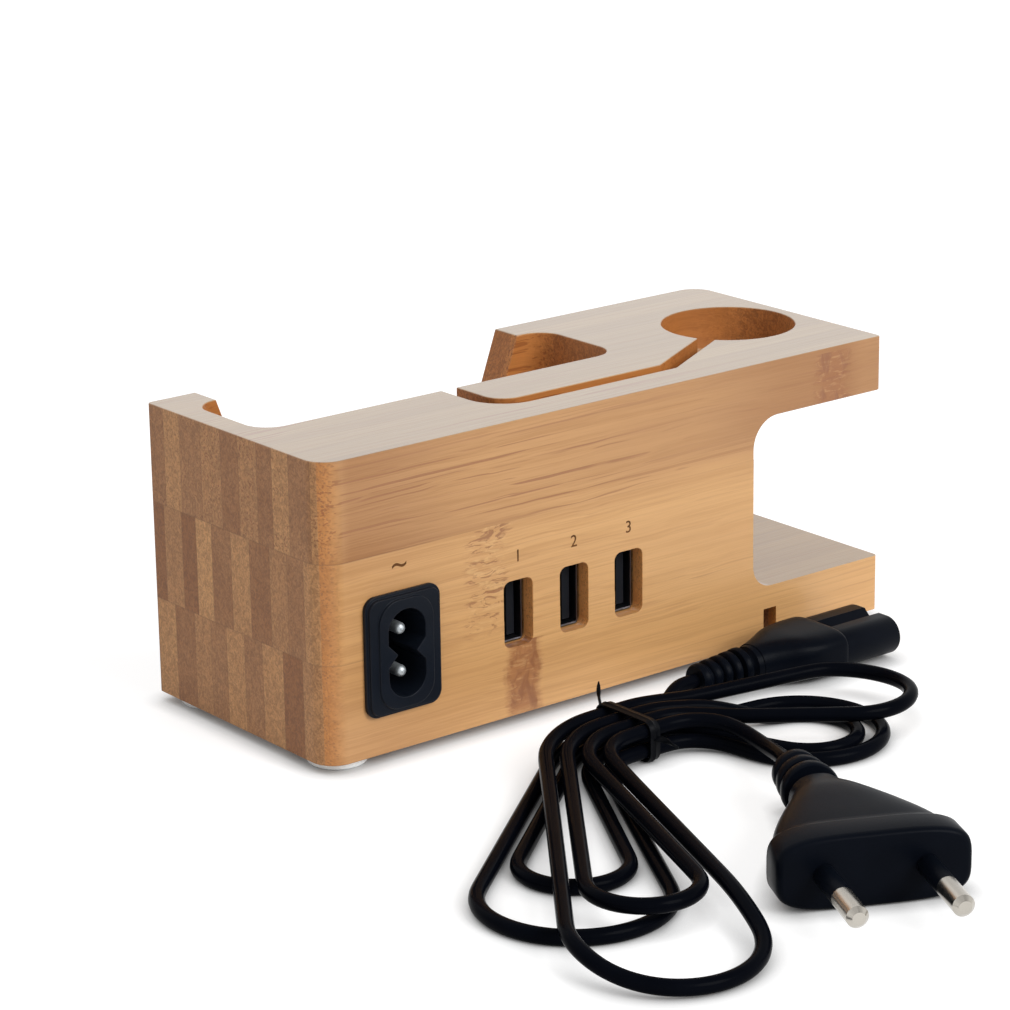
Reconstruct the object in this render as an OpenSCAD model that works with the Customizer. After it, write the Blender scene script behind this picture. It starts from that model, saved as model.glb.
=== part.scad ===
/* [Bamboo block] */
// Length of the block, end to end
block_l = 144; // [130:1:175]
// Depth of the block, rear face to front face
block_d = 58; // [54:1:72]
// Height of the block without its feet
block_h = 60; // [54:1:76]
// Radius of the two soft upright corners, rear left and front right
corner_r = 5; // [2:0.5:8]
// Radius of the two crisp upright corners, rear right and front left
crisp_r = 1; // [0.6:0.1:3]

/* [Watch arm] */
// Length of the arm past the body wall
arm_l = 35.7; // [34:0.1:45]
// Thickness of the arm
arm_t = 11.6; // [10.6:0.2:15]
// Thickness of the shelf under the arm
shelf_t = 12; // [10:0.5:15]
// Fillet under the arm
arm_fillet = 6.5; // [2:0.5:9]
// Fillet on the shelf
shelf_fillet = 5; // [2:0.5:9]
// Diameter of the round seat for a watch charging puck
seat_d = 28.3; // [24:0.1:29]
// Depth of that seat
seat_depth = 9; // [7:0.5:9.5]
// Wall between the seat and the end of the arm
seat_wall = 2.65; // [2:0.05:5]

/* [Cable slot] */
// Width of the slot in the top face
slot_w = 3.7; // [3:0.1:5]
// Depth of the slot
slot_depth = 9; // [5:0.5:9.5]
// Rear face to the middle of the slot's long run
slot_inset = 10.8; // [9:0.2:13]
// Left end of the block to the leg that enters the phone pocket
slot_leg_x = 50.6; // [40:0.2:56]
// Radius of the bend between leg and run, at the middle of the slot
slot_bend_r = 7; // [5:0.5:9]
// Watch seat centre back to where the slot turns towards it
slot_turn = 32.7; // [26:0.1:40]

/* [Phone pocket] */
// Left wall of the pocket
pocket_wall = 5.6; // [4:0.2:9]
// Length of the pocket
pocket_l = 88.8; // [84:0.2:94]
// Width of the pocket, back to front
pocket_w = 24; // [20:0.5:26]
// Corner radius of the pocket
pocket_r = 5.5; // [3:0.5:8]
// Front wall of the pocket
lip_t = 7.5; // [5:0.5:10]
// Height of the pocket's floor
floor_h = 12; // [10:0.5:16]
// Height of the low part of the front lip
lip_h = 24; // [18:1:32]
// Width of the front window at the top
window_w = 75.9; // [66:0.1:80]
// Left end of the block to the window
window_x = 11.4; // [9:0.1:14]
// Sideways draw of the window's edges, per millimetre of depth
window_draw = 0.3; // [0.1:0.05:0.4]
// Radius of the window's lower corners
window_r = 8; // [4:0.5:12]
// Length of the cable hole in the pocket's floor
floor_hole_l = 14; // [10:0.5:18]
// Width of that hole
floor_hole_w = 8; // [6:0.5:10]

/* [Cable groove underneath] */
// Width of the groove
groove_w = 3.5; // [3:0.1:5]
// Depth of the groove
groove_depth = 7.1; // [5:0.1:8]
// Body wall to the groove's outlet in the rear face
groove_offset = 4.75; // [4:0.05:8]

/* [Electronics bay] */
// Rear wall that the sockets go through
rear_wall = 5; // [4:0.2:6]
// Left end of the block to the bay
bay_x = 8; // [7.5:0.1:8.5]
// Wall between the bay and the body wall of the arm
bay_end_wall = 8.3; // [7:0.1:11]
// Wall between the bay and the phone pocket
bay_back_wall = 4; // [3:0.2:6]
// Height of the bay from the underside
bay_h = 36; // [33:1:42]
// Radius of the bay's corners
bay_r = 2; // [1:0.5:4]
// Thickness of the cover let into the underside
cover_t = 3; // [2.4:0.2:4]
// Width of the ledge at each end of the cover
ledge = 4.6; // [4.2:0.1:5]
// Width of the ledge along the cover's long edges
long_ledge = 2; // [1:0.2:3]
// Gap all round the cover
cover_gap = 0.2; // [0.1:0.05:0.4]
// Diameter of the cover screws
screw_d = 2.2; // [1.8:0.1:2.6]

/* [Feet] */
// Diameter of a foot
foot_d = 12; // [8:0.5:14]
// Height of a foot
foot_h = 2; // [1.5:0.5:4]
// Middle of a foot from both sides of its corner
foot_inset = 7.4; // [7:0.1:10]

/* [Mains inlet] */
// Distance between the two pins
pin_gap = 8.6; // [8.6:0.1:8.8]
// Diameter of the inlet's pins
inlet_pin_d = 2.4; // [2.3:0.05:2.5]
// Left end of the block to the middle of the inlet
inlet_x = 17.7; // [17:0.1:20]
// Underside of the block to the middle of the inlet
inlet_z = 20; // [18:0.5:24]
// Width of the flange
flange_w = 17.8; // [17:0.1:19]
// Height of the flange
flange_h = 24.2; // [23:0.1:26]
// How far the inlet stands proud of the rear face
flange_proud = 2.1; // [1.6:0.1:3]
// Radius of the two lobes of the socket
lobe_r = 4.35; // [4.2:0.05:4.5]
// Depth of the socket from the flange's face
socket_depth = 13.2; // [12:0.2:14]
// Pin tips below the flange's face
pin_recess = 1.5; // [1:0.1:3]
// Depth of the housing behind the rear face
inlet_depth = 14; // [13:0.2:15]

/* [Charging ports] */
// Number of ports
port_n = 3; // [3:1:3]
// Left end of the block to the first port
port_x = 46.4; // [44:0.1:49]
// Distance from port to port
port_pitch = 14.1; // [13:0.1:15]
// Underside of the block to the middle of the ports
port_z = 21; // [20:0.2:24]
// Width of a port's opening in the wood
port_w = 7.2; // [6.8:0.1:8]
// Height of a port's opening in the wood
port_h = 13.6; // [13.2:0.1:15]
// Port face below the rear face
port_recess = 2.7; // [1.5:0.1:4]
// Thickness of a port's metal shell across, from outside to outside
shell_w = 5.9; // [5.7:0.1:6.2]
// Height of a port's metal shell
shell_h = 12.9; // [12.5:0.1:13]
// Depth of a port's metal shell
shell_depth = 14; // [13.6:0.2:14.2]

/* [Mains cord] */
// Diameter of the cord
cord_d = 3; // [2.8:0.1:3.4]
// Step from strand to strand and from layer to layer in the hank
strand_pitch = 4; // [3.9:0.1:4.4]
// Wire of the twisted tie, above and below the strands
tie_t = 0.9; // [0.6:0.1:1.2]
// Width of the tie
tie_w = 3.2; // [2:0.2:5]

/* [Connector] */
// Length of the ribbed relief behind the connector
relief_l = 15; // [12:0.5:20]
// Length of the grip
grip_l = 19; // [16:0.5:24]
// Length of the nose that goes into the inlet
nose_l = 15; // [13:0.5:17]
// Clearance between the nose and the inlet's socket
nose_clearance = 0.35; // [0.2:0.05:0.5]
// Thickness of the grip
grip_t = 9.5; // [9:0.1:11]

/* [Plug] */
// Width of the plug's face
plug_w = 35.3; // [34:0.1:36]
// Thickness of the plug
plug_t = 13.7; // [13:0.1:14]
// Length of the plug's body without its relief
plug_l = 34; // [32:0.5:37]
// Length of the plug's relief
plug_relief_l = 14; // [12:0.5:20]
// Distance between the plug's pins
plug_pin_gap = 18.6; // [18:0.1:19]
// Diameter of the plug's pins
plug_pin_d = 4; // [3.9:0.05:4.1]
// Length of the plug's pins
plug_pin_l = 19; // [18.5:0.5:19.5]
// Length of the insulating sleeve on each pin
sleeve_l = 10; // [9:0.5:11]

/* [Hidden] */
$fn = 48;
eps = 0.01;

board_n = 3;
board_h = block_h / board_n;
body_l = block_l - arm_l;
arm_z = block_h - arm_t;

seat_r = seat_d / 2;
seat_at = [block_l - seat_wall - seat_r, block_d / 2];
slot_turn_at = [seat_at[0] - slot_turn, slot_inset];
slot_angle = atan2(seat_at[1] - slot_turn_at[1], seat_at[0] - slot_turn_at[0]);

pocket_y = block_d - lip_t - pocket_w;
pocket_mid = [pocket_wall + pocket_l / 2, pocket_y + pocket_w / 2];
groove_x = body_l + groove_offset;

bay_end = body_l - bay_end_wall;
bay_l = bay_end - bay_x;
bay_w = pocket_y - bay_back_wall - rear_wall;
cover_x = bay_x - ledge;
cover_l = bay_l + 2 * ledge;
cover_y = rear_wall - long_ledge;
cover_w = bay_w + 2 * long_ledge;
screw_head_d = 1.7 * screw_d;
screw_l = 8;
screw_at = [
    for (x = [bay_x - ledge / 2, bay_end + ledge / 2], y = [-0.25, 0.25])
        [x, rear_wall + bay_w * (0.5 + y)]
];

lobe_at = pin_gap / 2 + 0.15;
waist_w = lobe_r;
flange_rim = 1.6;
flange_bevel = 0.7;
housing_wall = 2.3;
housing_w = 2 * lobe_r + 2 * housing_wall + 2;
housing_h = 2 * (lobe_at + lobe_r) + 2 * housing_wall;
housing_gap = 0.2;
tab_l = 4.5;
tab_t = 0.8;

pcb_t = 1.6;
post_h = 2;
pcb_gap = 0.8;
mains_pcb_x = inlet_x + housing_w / 2 + 3.2;
mains_pcb_l = bay_end - pcb_gap - mains_pcb_x;
mains_pcb_z = cover_t + post_h;
parts_z = mains_pcb_z + pcb_t;
usb_pcb_y = port_recess + shell_depth;
usb_pcb_x = port_x - 6.5;
usb_pcb_l = port_pitch * (port_n - 1) + 13;
usb_pcb_h = port_z + shell_h / 2 + 3 - parts_z;
transformer_x = usb_pcb_x + usb_pcb_l + 1.5;
core_l = 14;
core_w = 13;
core_h = 13.5;
capacitor_x = mains_pcb_x + 4.8;

// Floor position of the tie, and what the hank's loops are laid from
tie_at = [-20, -54];
waist_half = 5;
shoulder_r = 16;
outer_slot = 1.5 * strand_pitch;
inner_slot = 0.5 * strand_pitch;
cord_r = cord_d / 2;
hank_sides = 6;
hank_rings = 30;
lead_sides = 8;
// Each loop: side, middle and radius of its far end, first and last slot, first and last layer
loops = [
    [-1, [-54, -49], 17, outer_slot, -outer_slot, 0, 0],
    [1, [31, -16], 15.5, -outer_slot, inner_slot, 0, 0],
    [-1, [-45, -38], 10, inner_slot, -inner_slot, 0, 0],
    [1, [31, -17], 10, -inner_slot, inner_slot, 0, 1],
    [-1, [-47, -59], 10, inner_slot, -inner_slot, 1, 1],
    [1, [45, -13], 13, -inner_slot, outer_slot, 1, 1],
    [-1, [-56, -75], 16.5, outer_slot, -outer_slot, 1, 1]
];

connector_at = [8, -42];
connector_z = grip_t / 2;
plug_at = [-14, -94];
plug_turn = -116;
plug_z = plug_t / 2;
// Free stretches between the tied hank and the two mouldings
connector_route = [
    [tie_at[0] + waist_half, tie_at[1] + outer_slot, cord_r + tie_t], [-11, -47.9, 2.4],
    [-7, -47.2, 2.4], [-3, -45.4, 2.9], [0.4, -43.3, 4], [4, -42, connector_z],
    [connector_at[0], connector_at[1], connector_z]
];
plug_route = [
    [tie_at[0] + waist_half, tie_at[1] - outer_slot, cord_r + tie_t + strand_pitch],
    [-11.2, -60.8, 6.4], [-7.9, -63, 6.3], [-5.9, -66, 6.1], [-5.3, -70, 5.7], [-5.8, -75, 5.3],
    [-7.2, -80, 5.4], [-9.2, -84.6, 6.1], [-11.6, -89, plug_z], [plug_at[0], plug_at[1], plug_z]
];

// Frames and flat outlines
module at_block() {
    translate([-block_l / 2, (flange_proud - block_d) / 2, foot_h]) children();
}

module on_rear(x, z) {
    translate([x, 0, z]) rotate([90, 0, 0]) children();
}

module rounded_rect(l, w, r) {
    translate([r, 0]) square([l - 2 * r, w]);
    translate([0, r]) square([l, w - 2 * r]);
    for (x = [r, l - r], y = [r, w - r]) translate([x, y]) circle(r);
}

module block_outline() {
    a = corner_r;
    b = crisp_r;
    l = block_l;
    d = block_d;
    polygon([[a, 0], [l - b, 0], [l, b], [l, d - a], [l - a, d], [b, d], [0, d - b], [0, a]]);
    for (c = [[a, a, a], [l - b, b, b], [l - a, d - a, a], [b, d - b, b]])
        translate([c[0], c[1]]) circle(c[2]);
}

module centred_rect(l, w, r) {
    translate([-l / 2, -w / 2]) rounded_rect(l, w, r);
}

// Two round lobes joined by a narrower waist, upright
module socket_outline(shrink) {
    r = lobe_r - shrink;
    w = waist_w / 2 - shrink;
    for (s = [-1, 1]) translate([0, s * lobe_at]) circle(r);
    polygon([
        [r, lobe_at], [r, lobe_at / 2], [w, 0], [r, -lobe_at / 2], [r, -lobe_at],
        [-r, -lobe_at], [-r, -lobe_at / 2], [-w, 0], [-r, lobe_at / 2], [-r, lobe_at]
    ]);
}

// Hollows of the bamboo block
module arm_gap() {
    gap_top = arm_z;
    reach = arm_l + 1;
    translate([body_l, block_d + 1, 0]) rotate([90, 0, 0]) linear_extrude(block_d + 2) {
        translate([0, shelf_t + shelf_fillet])
            square([reach, gap_top - shelf_t - arm_fillet - shelf_fillet]);
        translate([arm_fillet, gap_top - arm_fillet - eps])
            square([reach - arm_fillet, arm_fillet + eps]);
        translate([shelf_fillet, shelf_t]) square([reach - shelf_fillet, shelf_fillet + eps]);
        translate([arm_fillet, gap_top - arm_fillet]) circle(arm_fillet);
        translate([shelf_fillet, shelf_t + shelf_fillet]) circle(shelf_fillet);
    }
}

module watch_seat() {
    translate([seat_at[0], seat_at[1], block_h - seat_depth]) cylinder(r = seat_r, h = seat_depth + 1);
}

module slot_outline() {
    bend_at = [slot_leg_x + slot_bend_r, slot_inset + slot_bend_r];
    translate([slot_leg_x - slot_w / 2, bend_at[1]])
        square([slot_w, pocket_y + 1 - bend_at[1]]);
    translate(bend_at) intersection() {
        difference() {
            circle(slot_bend_r + slot_w / 2);
            circle(slot_bend_r - slot_w / 2);
        }
        translate([-2 * slot_bend_r, -2 * slot_bend_r]) square(2 * slot_bend_r);
    }
    translate([bend_at[0], slot_inset - slot_w / 2])
        square([slot_turn_at[0] - bend_at[0], slot_w]);
    translate(slot_turn_at) circle(slot_w / 2);
    translate(slot_turn_at) rotate(slot_angle) translate([0, -slot_w / 2]) square([slot_turn, slot_w]);
}

module cable_slot() {
    translate([0, 0, block_h - slot_depth]) linear_extrude(slot_depth + 1) slot_outline();
}

module phone_pocket() {
    translate([pocket_wall, pocket_y, floor_h]) linear_extrude(block_h)
        rounded_rect(pocket_l, pocket_w, pocket_r);
    translate([pocket_mid[0], pocket_mid[1], -1]) linear_extrude(floor_h + 2)
        centred_rect(floor_hole_l, floor_hole_w, floor_hole_w * 0.45);
}

// Opening in the front lip, narrower towards its rounded foot
module front_window() {
    drop = block_h - lip_h;
    side = window_draw * drop;
    translate([window_x, block_d + 1, 0]) rotate([90, 0, 0]) linear_extrude(lip_t + 1 + pocket_r)
        hull() {
            translate([0, block_h]) square([window_w, 1]);
            for (x = [side + window_r, window_w - side - window_r])
                translate([x, lip_h + window_r]) circle(window_r, $fn = 32);
        }
}

module cable_groove() {
    translate([groove_x - groove_w / 2, -1, -1])
        cube([groove_w, pocket_mid[1] + groove_w / 2 + 1, groove_depth + 1]);
    translate([pocket_mid[0], pocket_mid[1] - groove_w / 2, -1])
        cube([groove_x - pocket_mid[0], groove_w, groove_depth + 1]);
}

module electronics_bay() {
    translate([bay_x, rear_wall, -1]) linear_extrude(bay_h + 1) rounded_rect(bay_l, bay_w, bay_r);
    translate([cover_x, cover_y, -1]) linear_extrude(cover_t + 1)
        rounded_rect(cover_l, cover_w, bay_r);
    for (p = screw_at) translate([p[0], p[1], 0]) cylinder(d = screw_d, h = screw_l);
}

module inlet_opening() {
    on_rear(inlet_x, inlet_z) translate([0, 0, -rear_wall - 1]) linear_extrude(rear_wall + 2)
        centred_rect(housing_w + 2 * housing_gap, housing_h + 2 * housing_gap, 2.5);
}

module port_openings() {
    for (i = [0 : port_n - 1])
        on_rear(port_x + i * port_pitch, port_z) translate([0, 0, -rear_wall - 1])
            linear_extrude(rear_wall + 2) centred_rect(port_w, port_h, 1.6);
}

module block_form() {
    difference() {
        linear_extrude(block_h) block_outline();
        arm_gap();
        watch_seat();
        cable_slot();
        phone_pocket();
        front_window();
        cable_groove();
        electronics_bay();
        inlet_opening();
        port_openings();
    }
}

// Board i of the glued block, counted from the bottom
module board(i) {
    low = i == 0 ? -1 : i * board_h;
    high = i == board_n - 1 ? block_h + 1 : (i + 1) * board_h;
    at_block() intersection() {
        block_form();
        translate([-1, -1, low]) cube([block_l + 2, block_d + 2, high - low]);
    }
}

module base_board() {
    color("#c9935f") board(0);
}

module middle_board() {
    color("#cf9f6b") board(1);
}

module top_board() {
    color("#c79f78") board(2);
}

module bottom_cover() {
    color("#b98a58") at_block() {
        difference() {
            translate([cover_x + cover_gap, cover_y + cover_gap, 0]) linear_extrude(cover_t)
                rounded_rect(cover_l - 2 * cover_gap, cover_w - 2 * cover_gap, bay_r);
            for (p = screw_at) translate([p[0], p[1], 0]) {
                translate([0, 0, -1]) cylinder(d = screw_d + 0.4, h = cover_t + 2);
                translate([0, 0, -eps])
                    cylinder(d1 = screw_head_d + 0.4, d2 = screw_d + 0.4, h = (screw_head_d - screw_d) / 2);
            }
        }
        for (x = [mains_pcb_x + 4, mains_pcb_x + mains_pcb_l - 4])
            translate([x, rear_wall + bay_w / 2, cover_t]) cylinder(d = 5, h = post_h);
    }
}

module cover_screws() {
    head_h = (screw_head_d - screw_d) / 2;
    color("silver") at_block() for (p = screw_at) translate([p[0], p[1], 0]) difference() {
        union() {
            cylinder(d1 = screw_head_d, d2 = screw_d - 0.1, h = head_h);
            cylinder(d = screw_d - 0.1, h = screw_l - 1.2);
            translate([0, 0, screw_l - 1.2]) cylinder(d1 = screw_d - 0.1, d2 = 0.4, h = 1);
        }
        for (a = [0, 90]) rotate(a) translate([-screw_head_d / 4, -0.25, -eps])
            cube([screw_head_d / 2, 0.5, 0.6]);
    }
}

// Soft pad with a rounded lower rim
module feet() {
    rim = min(1, foot_h / 2);
    color("white") at_block()
        for (x = [foot_inset, block_l - foot_inset], y = [foot_inset, block_d - foot_inset])
            translate([x, y, -foot_h]) rotate_extrude() {
                translate([0, rim]) square([foot_d / 2, foot_h - rim]);
                square([foot_d / 2 - rim, foot_h]);
                intersection() {
                    translate([foot_d / 2 - rim, rim]) circle(rim);
                    square([foot_d, foot_h]);
                }
            }
}

// Mains inlet
module inlet_housing() {
    face_w = flange_w - 5;
    face_h = flange_h - 2.4;
    color("#23262b") at_block() on_rear(inlet_x, inlet_z) difference() {
        union() {
            linear_extrude(flange_rim - flange_bevel) centred_rect(flange_w, flange_h, 2.6);
            translate([0, 0, flange_rim - flange_bevel - eps]) linear_extrude(flange_bevel + eps)
                centred_rect(flange_w - 1.2, flange_h - 1.2, 2.2);
            linear_extrude(flange_proud) centred_rect(face_w, face_h, 4.6);
            translate([0, 0, -inlet_depth]) linear_extrude(inlet_depth + eps)
                centred_rect(housing_w, housing_h, 2.3);
        }
        translate([0, 0, flange_proud - socket_depth]) linear_extrude(socket_depth + 1)
            socket_outline(0);
        for (s = [-1, 1]) translate([0, s * pin_gap / 2, -inlet_depth - 1])
            cylinder(d = inlet_pin_d, h = inlet_depth + 1);
    }
}

// Round pins with domed tips, and a solder tab behind each
module inlet_pins() {
    tip = flange_proud - pin_recess;
    color("silver") at_block() on_rear(inlet_x, inlet_z) for (s = [-1, 1])
        translate([0, s * pin_gap / 2, 0]) {
            translate([0, 0, -inlet_depth]) cylinder(d = inlet_pin_d, h = inlet_depth + tip - inlet_pin_d / 2);
            translate([0, 0, tip - inlet_pin_d / 2]) sphere(d = inlet_pin_d);
            translate([-inlet_pin_d / 2, -tab_t / 2, -inlet_depth - tab_l])
                cube([inlet_pin_d, tab_t, tab_l + eps]);
        }
}

// Solid tube along a list of points, as one closed mesh of triangles
function tube_points(p, r, sides) = [
    for (i = [0 : len(p) - 1])
        let (
            t = p[min(i + 1, len(p) - 1)] - p[max(i - 1, 0)],
            side = cross([0, 0, 1], t) / norm(cross([0, 0, 1], t)),
            up = cross(t, side) / norm(t)
        )
        for (k = [0 : sides - 1])
            let (a = 360 * (k + 0.5) / sides) p[i] + r * (cos(a) * side + sin(a) * up)
];

function tube_faces(n, sides) = concat(
    [
        for (i = [0 : n - 2], k = [0 : sides - 1], half = [0, 1])
            let (a = i * sides + k, b = i * sides + (k + 1) % sides)
            half == 0 ? [a, b, b + sides] : [a, b + sides, a + sides]
    ],
    [for (k = [1 : sides - 2]) [0, k + 1, k]],
    [for (k = [1 : sides - 2]) let (e = (n - 1) * sides) [e, e + k, e + k + 1]]
);

module tube(p, r, sides) {
    polyhedron(points = tube_points(p, r, sides), faces = tube_faces(len(p), sides));
}

// Insulated leads from the inlet's tabs, bent down to the mains board
module inlet_leads() {
    lead_d = 1.5;
    bend_r = 3;
    y = inlet_depth + tab_l - 1;
    x = inlet_x + inlet_pin_d / 2;
    color("#7a3b22") at_block() for (s = [-1, 1]) {
        z = inlet_z + s * pin_gap / 2;
        far = mains_pcb_x + 2.8 + 1.2 * s;
        translate([x, y, z]) rotate([0, 90, 0]) cylinder(d = lead_d, h = far - bend_r - x + eps);
        translate([far - bend_r, y, z - bend_r]) rotate([90, 0, 0]) rotate_extrude(angle = 90)
            translate([bend_r, 0]) circle(d = lead_d);
        translate([far, y, parts_z]) cylinder(d = lead_d, h = z - bend_r - parts_z + eps);
    }
}

// Boards and parts inside the bay
module mains_board() {
    color("#2f6b3c") at_block() translate([mains_pcb_x, rear_wall + pcb_gap, mains_pcb_z])
        cube([mains_pcb_l, bay_w - 2 * pcb_gap, pcb_t]);
}

module transformer_core() {
    yoke = 3;
    y = rear_wall + bay_w / 2;
    color("#3a3a3d") at_block() translate([transformer_x, y - core_w / 2, parts_z]) {
        difference() {
            cube([core_l, core_w, core_h]);
            translate([yoke, -1, yoke]) cube([core_l - 2 * yoke, core_w + 2, core_h - 2 * yoke]);
        }
        translate([yoke - eps, core_w / 2 - 2.2, core_h / 2 - 2.2])
            cube([core_l - 2 * yoke + 2 * eps, 4.4, 4.4]);
    }
}

module transformer_winding() {
    yoke = 3;
    y = rear_wall + bay_w / 2;
    color("#c9a227") at_block() translate([transformer_x + yoke, y, parts_z + core_h / 2])
        rotate([0, 90, 0]) difference() {
            linear_extrude(core_l - 2 * yoke) centred_rect(7.4, 9.6, 2.6);
            translate([0, 0, -1]) linear_extrude(core_l) square(4.4, center = true);
        }
}

module upright_capacitor(d, h) {
    difference() {
        cylinder(d = d, h = h);
        translate([0, 0, 1.4]) rotate_extrude() translate([d / 2, 0]) circle(0.35);
        for (a = [0, 90]) rotate(a) translate([-d / 3, -0.15, h - 0.3]) cube([d * 2 / 3, 0.3, 1]);
    }
}

module input_capacitor() {
    color("#1f2a55") at_block() translate([capacitor_x, rear_wall + 6, parts_z])
        upright_capacitor(8, 13);
}

module output_capacitors() {
    room = port_z - shell_h / 2 - parts_z - 0.6;
    color("#244a7a") at_block() for (i = [0, 1])
        translate([port_x + (i + 0.5) * port_pitch, rear_wall + 5.5, parts_z])
            upright_capacitor(6.3, min(7, room));
}

module rectifier() {
    color("#202022") at_block() translate([port_x - 2.4, rear_wall + 2.5, parts_z])
        cube([4.8, 3.6, 1.8]);
}

module fuse() {
    color("#d8c9a0") at_block()
        translate([port_x + 2 * port_pitch - 3.5, rear_wall + 2.5, parts_z + 1.7]) rotate([0, 90, 0])
            union() {
                cylinder(d = 3, h = 7);
                cylinder(d = 3.4, h = 1.4);
                translate([0, 0, 5.6]) cylinder(d = 3.4, h = 1.4);
            }
}

module usb_board() {
    color("#2f6b3c") at_block() translate([usb_pcb_x, usb_pcb_y, parts_z])
        cube([usb_pcb_l, pcb_t, usb_pcb_h]);
}

// Folded metal shell of one port, with a flared mouth and two spring windows a side
module usb_shell(i) {
    wall = 0.3;
    color("#b9bcc0") at_block() on_rear(port_x + i * port_pitch, port_z)
        translate([0, 0, -usb_pcb_y]) difference() {
            linear_extrude(shell_depth) centred_rect(shell_w, shell_h, 0.5);
            translate([0, 0, 1]) linear_extrude(shell_depth)
                centred_rect(shell_w - 2 * wall, shell_h - 2 * wall, 0.3);
            for (s = [-1, 1]) translate([-shell_w, s * 2.8 - 0.9, shell_depth - 8])
                cube([2 * shell_w, 1.8, 4]);
        }
}

module usb_shell_left() {
    usb_shell(0);
}

module usb_shell_middle() {
    usb_shell(1);
}

module usb_shell_right() {
    usb_shell(2);
}

tongue_w = 1.9;
tongue_h = 11;
tongue_x = 0.75;

// Moulded tongue of each port, standing on the port's floor
module usb_tongues() {
    color("#1b1b1d") at_block() for (i = [0 : port_n - 1])
        on_rear(port_x + i * port_pitch, port_z) translate([0, 0, 1 - usb_pcb_y]) {
            linear_extrude(shell_depth - 2) translate([tongue_x - tongue_w / 2, -tongue_h / 2])
                square([tongue_w, tongue_h]);
            linear_extrude(3.4) centred_rect(shell_w - 0.7, shell_h - 0.7, 0.2);
        }
}

module usb_contacts() {
    color("#d9a441") at_block() for (i = [0 : port_n - 1], k = [-1.5 : 1.5])
        on_rear(port_x + i * port_pitch, port_z)
            translate([tongue_x - tongue_w / 2 - 0.25, k * 2.25 - 0.5, 4.4 - usb_pcb_y])
                cube([0.25, 1, shell_depth - 6]);
}

// Connector on the floor, its cord end at connector_at
module at_connector() {
    translate([connector_at[0], connector_at[1], connector_z]) rotate([0, 90, 0]) rotate(90)
        children();
}

module connector_relief() {
    ribs = 5;
    step = (relief_l - 2) / ribs;
    color("#17181b") at_connector() rotate_extrude() {
        square([2.7, relief_l]);
        translate([0, relief_l - 1.4]) square([4.1, 1.4]);
        for (i = [0 : ribs - 1]) translate([0, i * step]) square([3 + 0.22 * i, step * 0.62]);
    }
}

module connector_body() {
    w = 2 * (lobe_at + lobe_r);
    color("#17181b") at_connector() translate([0, 0, relief_l]) difference() {
        union() {
            hull() {
                linear_extrude(0.6) centred_rect(9.6, 8, 3, $fn = 32);
                translate([0, 0, grip_l * 0.45]) linear_extrude(0.6)
                    centred_rect(w * 0.9, grip_t, 4, $fn = 32);
            }
            hull() {
                translate([0, 0, grip_l * 0.45]) linear_extrude(0.6)
                    centred_rect(w * 0.9, grip_t, 4, $fn = 32);
                translate([0, 0, grip_l - 0.6]) linear_extrude(0.6)
                    centred_rect(w, grip_t, 4.4, $fn = 32);
            }
            translate([0, 0, grip_l - eps]) rotate(90) linear_extrude(nose_l + eps)
                socket_outline(nose_clearance);
        }
        for (s = [-1, 1]) translate([s * pin_gap / 2, 0, grip_l + 1])
            cylinder(d = inlet_pin_d + 1.2, h = nose_l);
    }
}

module connector_sockets() {
    color("#c8a24a") at_connector() for (s = [-1, 1])
        translate([s * pin_gap / 2, 0, relief_l + grip_l + 1]) difference() {
            cylinder(d = inlet_pin_d + 1.2, h = nose_l - 2.5);
            translate([0, 0, 1]) cylinder(d = inlet_pin_d + 0.2, h = nose_l);
        }
}

// Plug on the floor, its cord end at plug_at
module at_plug() {
    translate([plug_at[0], plug_at[1], plug_z]) rotate(plug_turn) rotate([0, 90, 0]) rotate(90) children();
}

module plug_relief() {
    color("#17181b") at_plug() rotate_extrude() {
        square([3.6, plug_relief_l]);
        for (i = [0 : 2]) translate([0, i * plug_relief_l * 0.3]) square([4.4 + 0.5 * i, plug_relief_l * 0.2]);
    }
}

module plug_section(z, w, t, r) {
    translate([0, 0, z]) linear_extrude(0.5) centred_rect(w, t, r, $fn = 32);
}

module plug_body() {
    rim = 7.5;
    color("#17181b") at_plug() translate([0, 0, plug_relief_l]) {
        hull() {
            plug_section(0, 11.5, 10, 4.4);
            plug_section(plug_l * 0.2, 14, 12, 5);
        }
        hull() {
            plug_section(plug_l * 0.2, 14, 12, 5);
            plug_section(plug_l * 0.55, 27, plug_t - 0.6, 5.6);
        }
        hull() {
            plug_section(plug_l * 0.55, 27, plug_t - 0.6, 5.6);
            plug_section(plug_l - rim - 0.5, plug_w - 2.4, plug_t - 0.8, 5.8);
        }
        translate([0, 0, plug_l - rim - eps]) linear_extrude(rim + eps)
            centred_rect(plug_w, plug_t, 6.2);
    }
}

module plug_sleeves() {
    color("#111214") at_plug() for (s = [-1, 1])
        translate([s * plug_pin_gap / 2, 0, plug_relief_l + plug_l]) difference() {
            cylinder(d = plug_pin_d, h = sleeve_l);
            translate([0, 0, -1]) cylinder(d = plug_pin_d - 1, h = sleeve_l + 2);
        }
}

module plug_pins() {
    color("silver") at_plug() for (s = [-1, 1])
        translate([s * plug_pin_gap / 2, 0, plug_relief_l + plug_l]) {
            cylinder(d = plug_pin_d - 1, h = sleeve_l + 1);
            translate([0, 0, sleeve_l]) cylinder(d = plug_pin_d, h = plug_pin_l - sleeve_l - 1);
            translate([0, 0, plug_pin_l - 1]) cylinder(d1 = plug_pin_d, d2 = plug_pin_d - 1.6, h = 1);
        }
}

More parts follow.
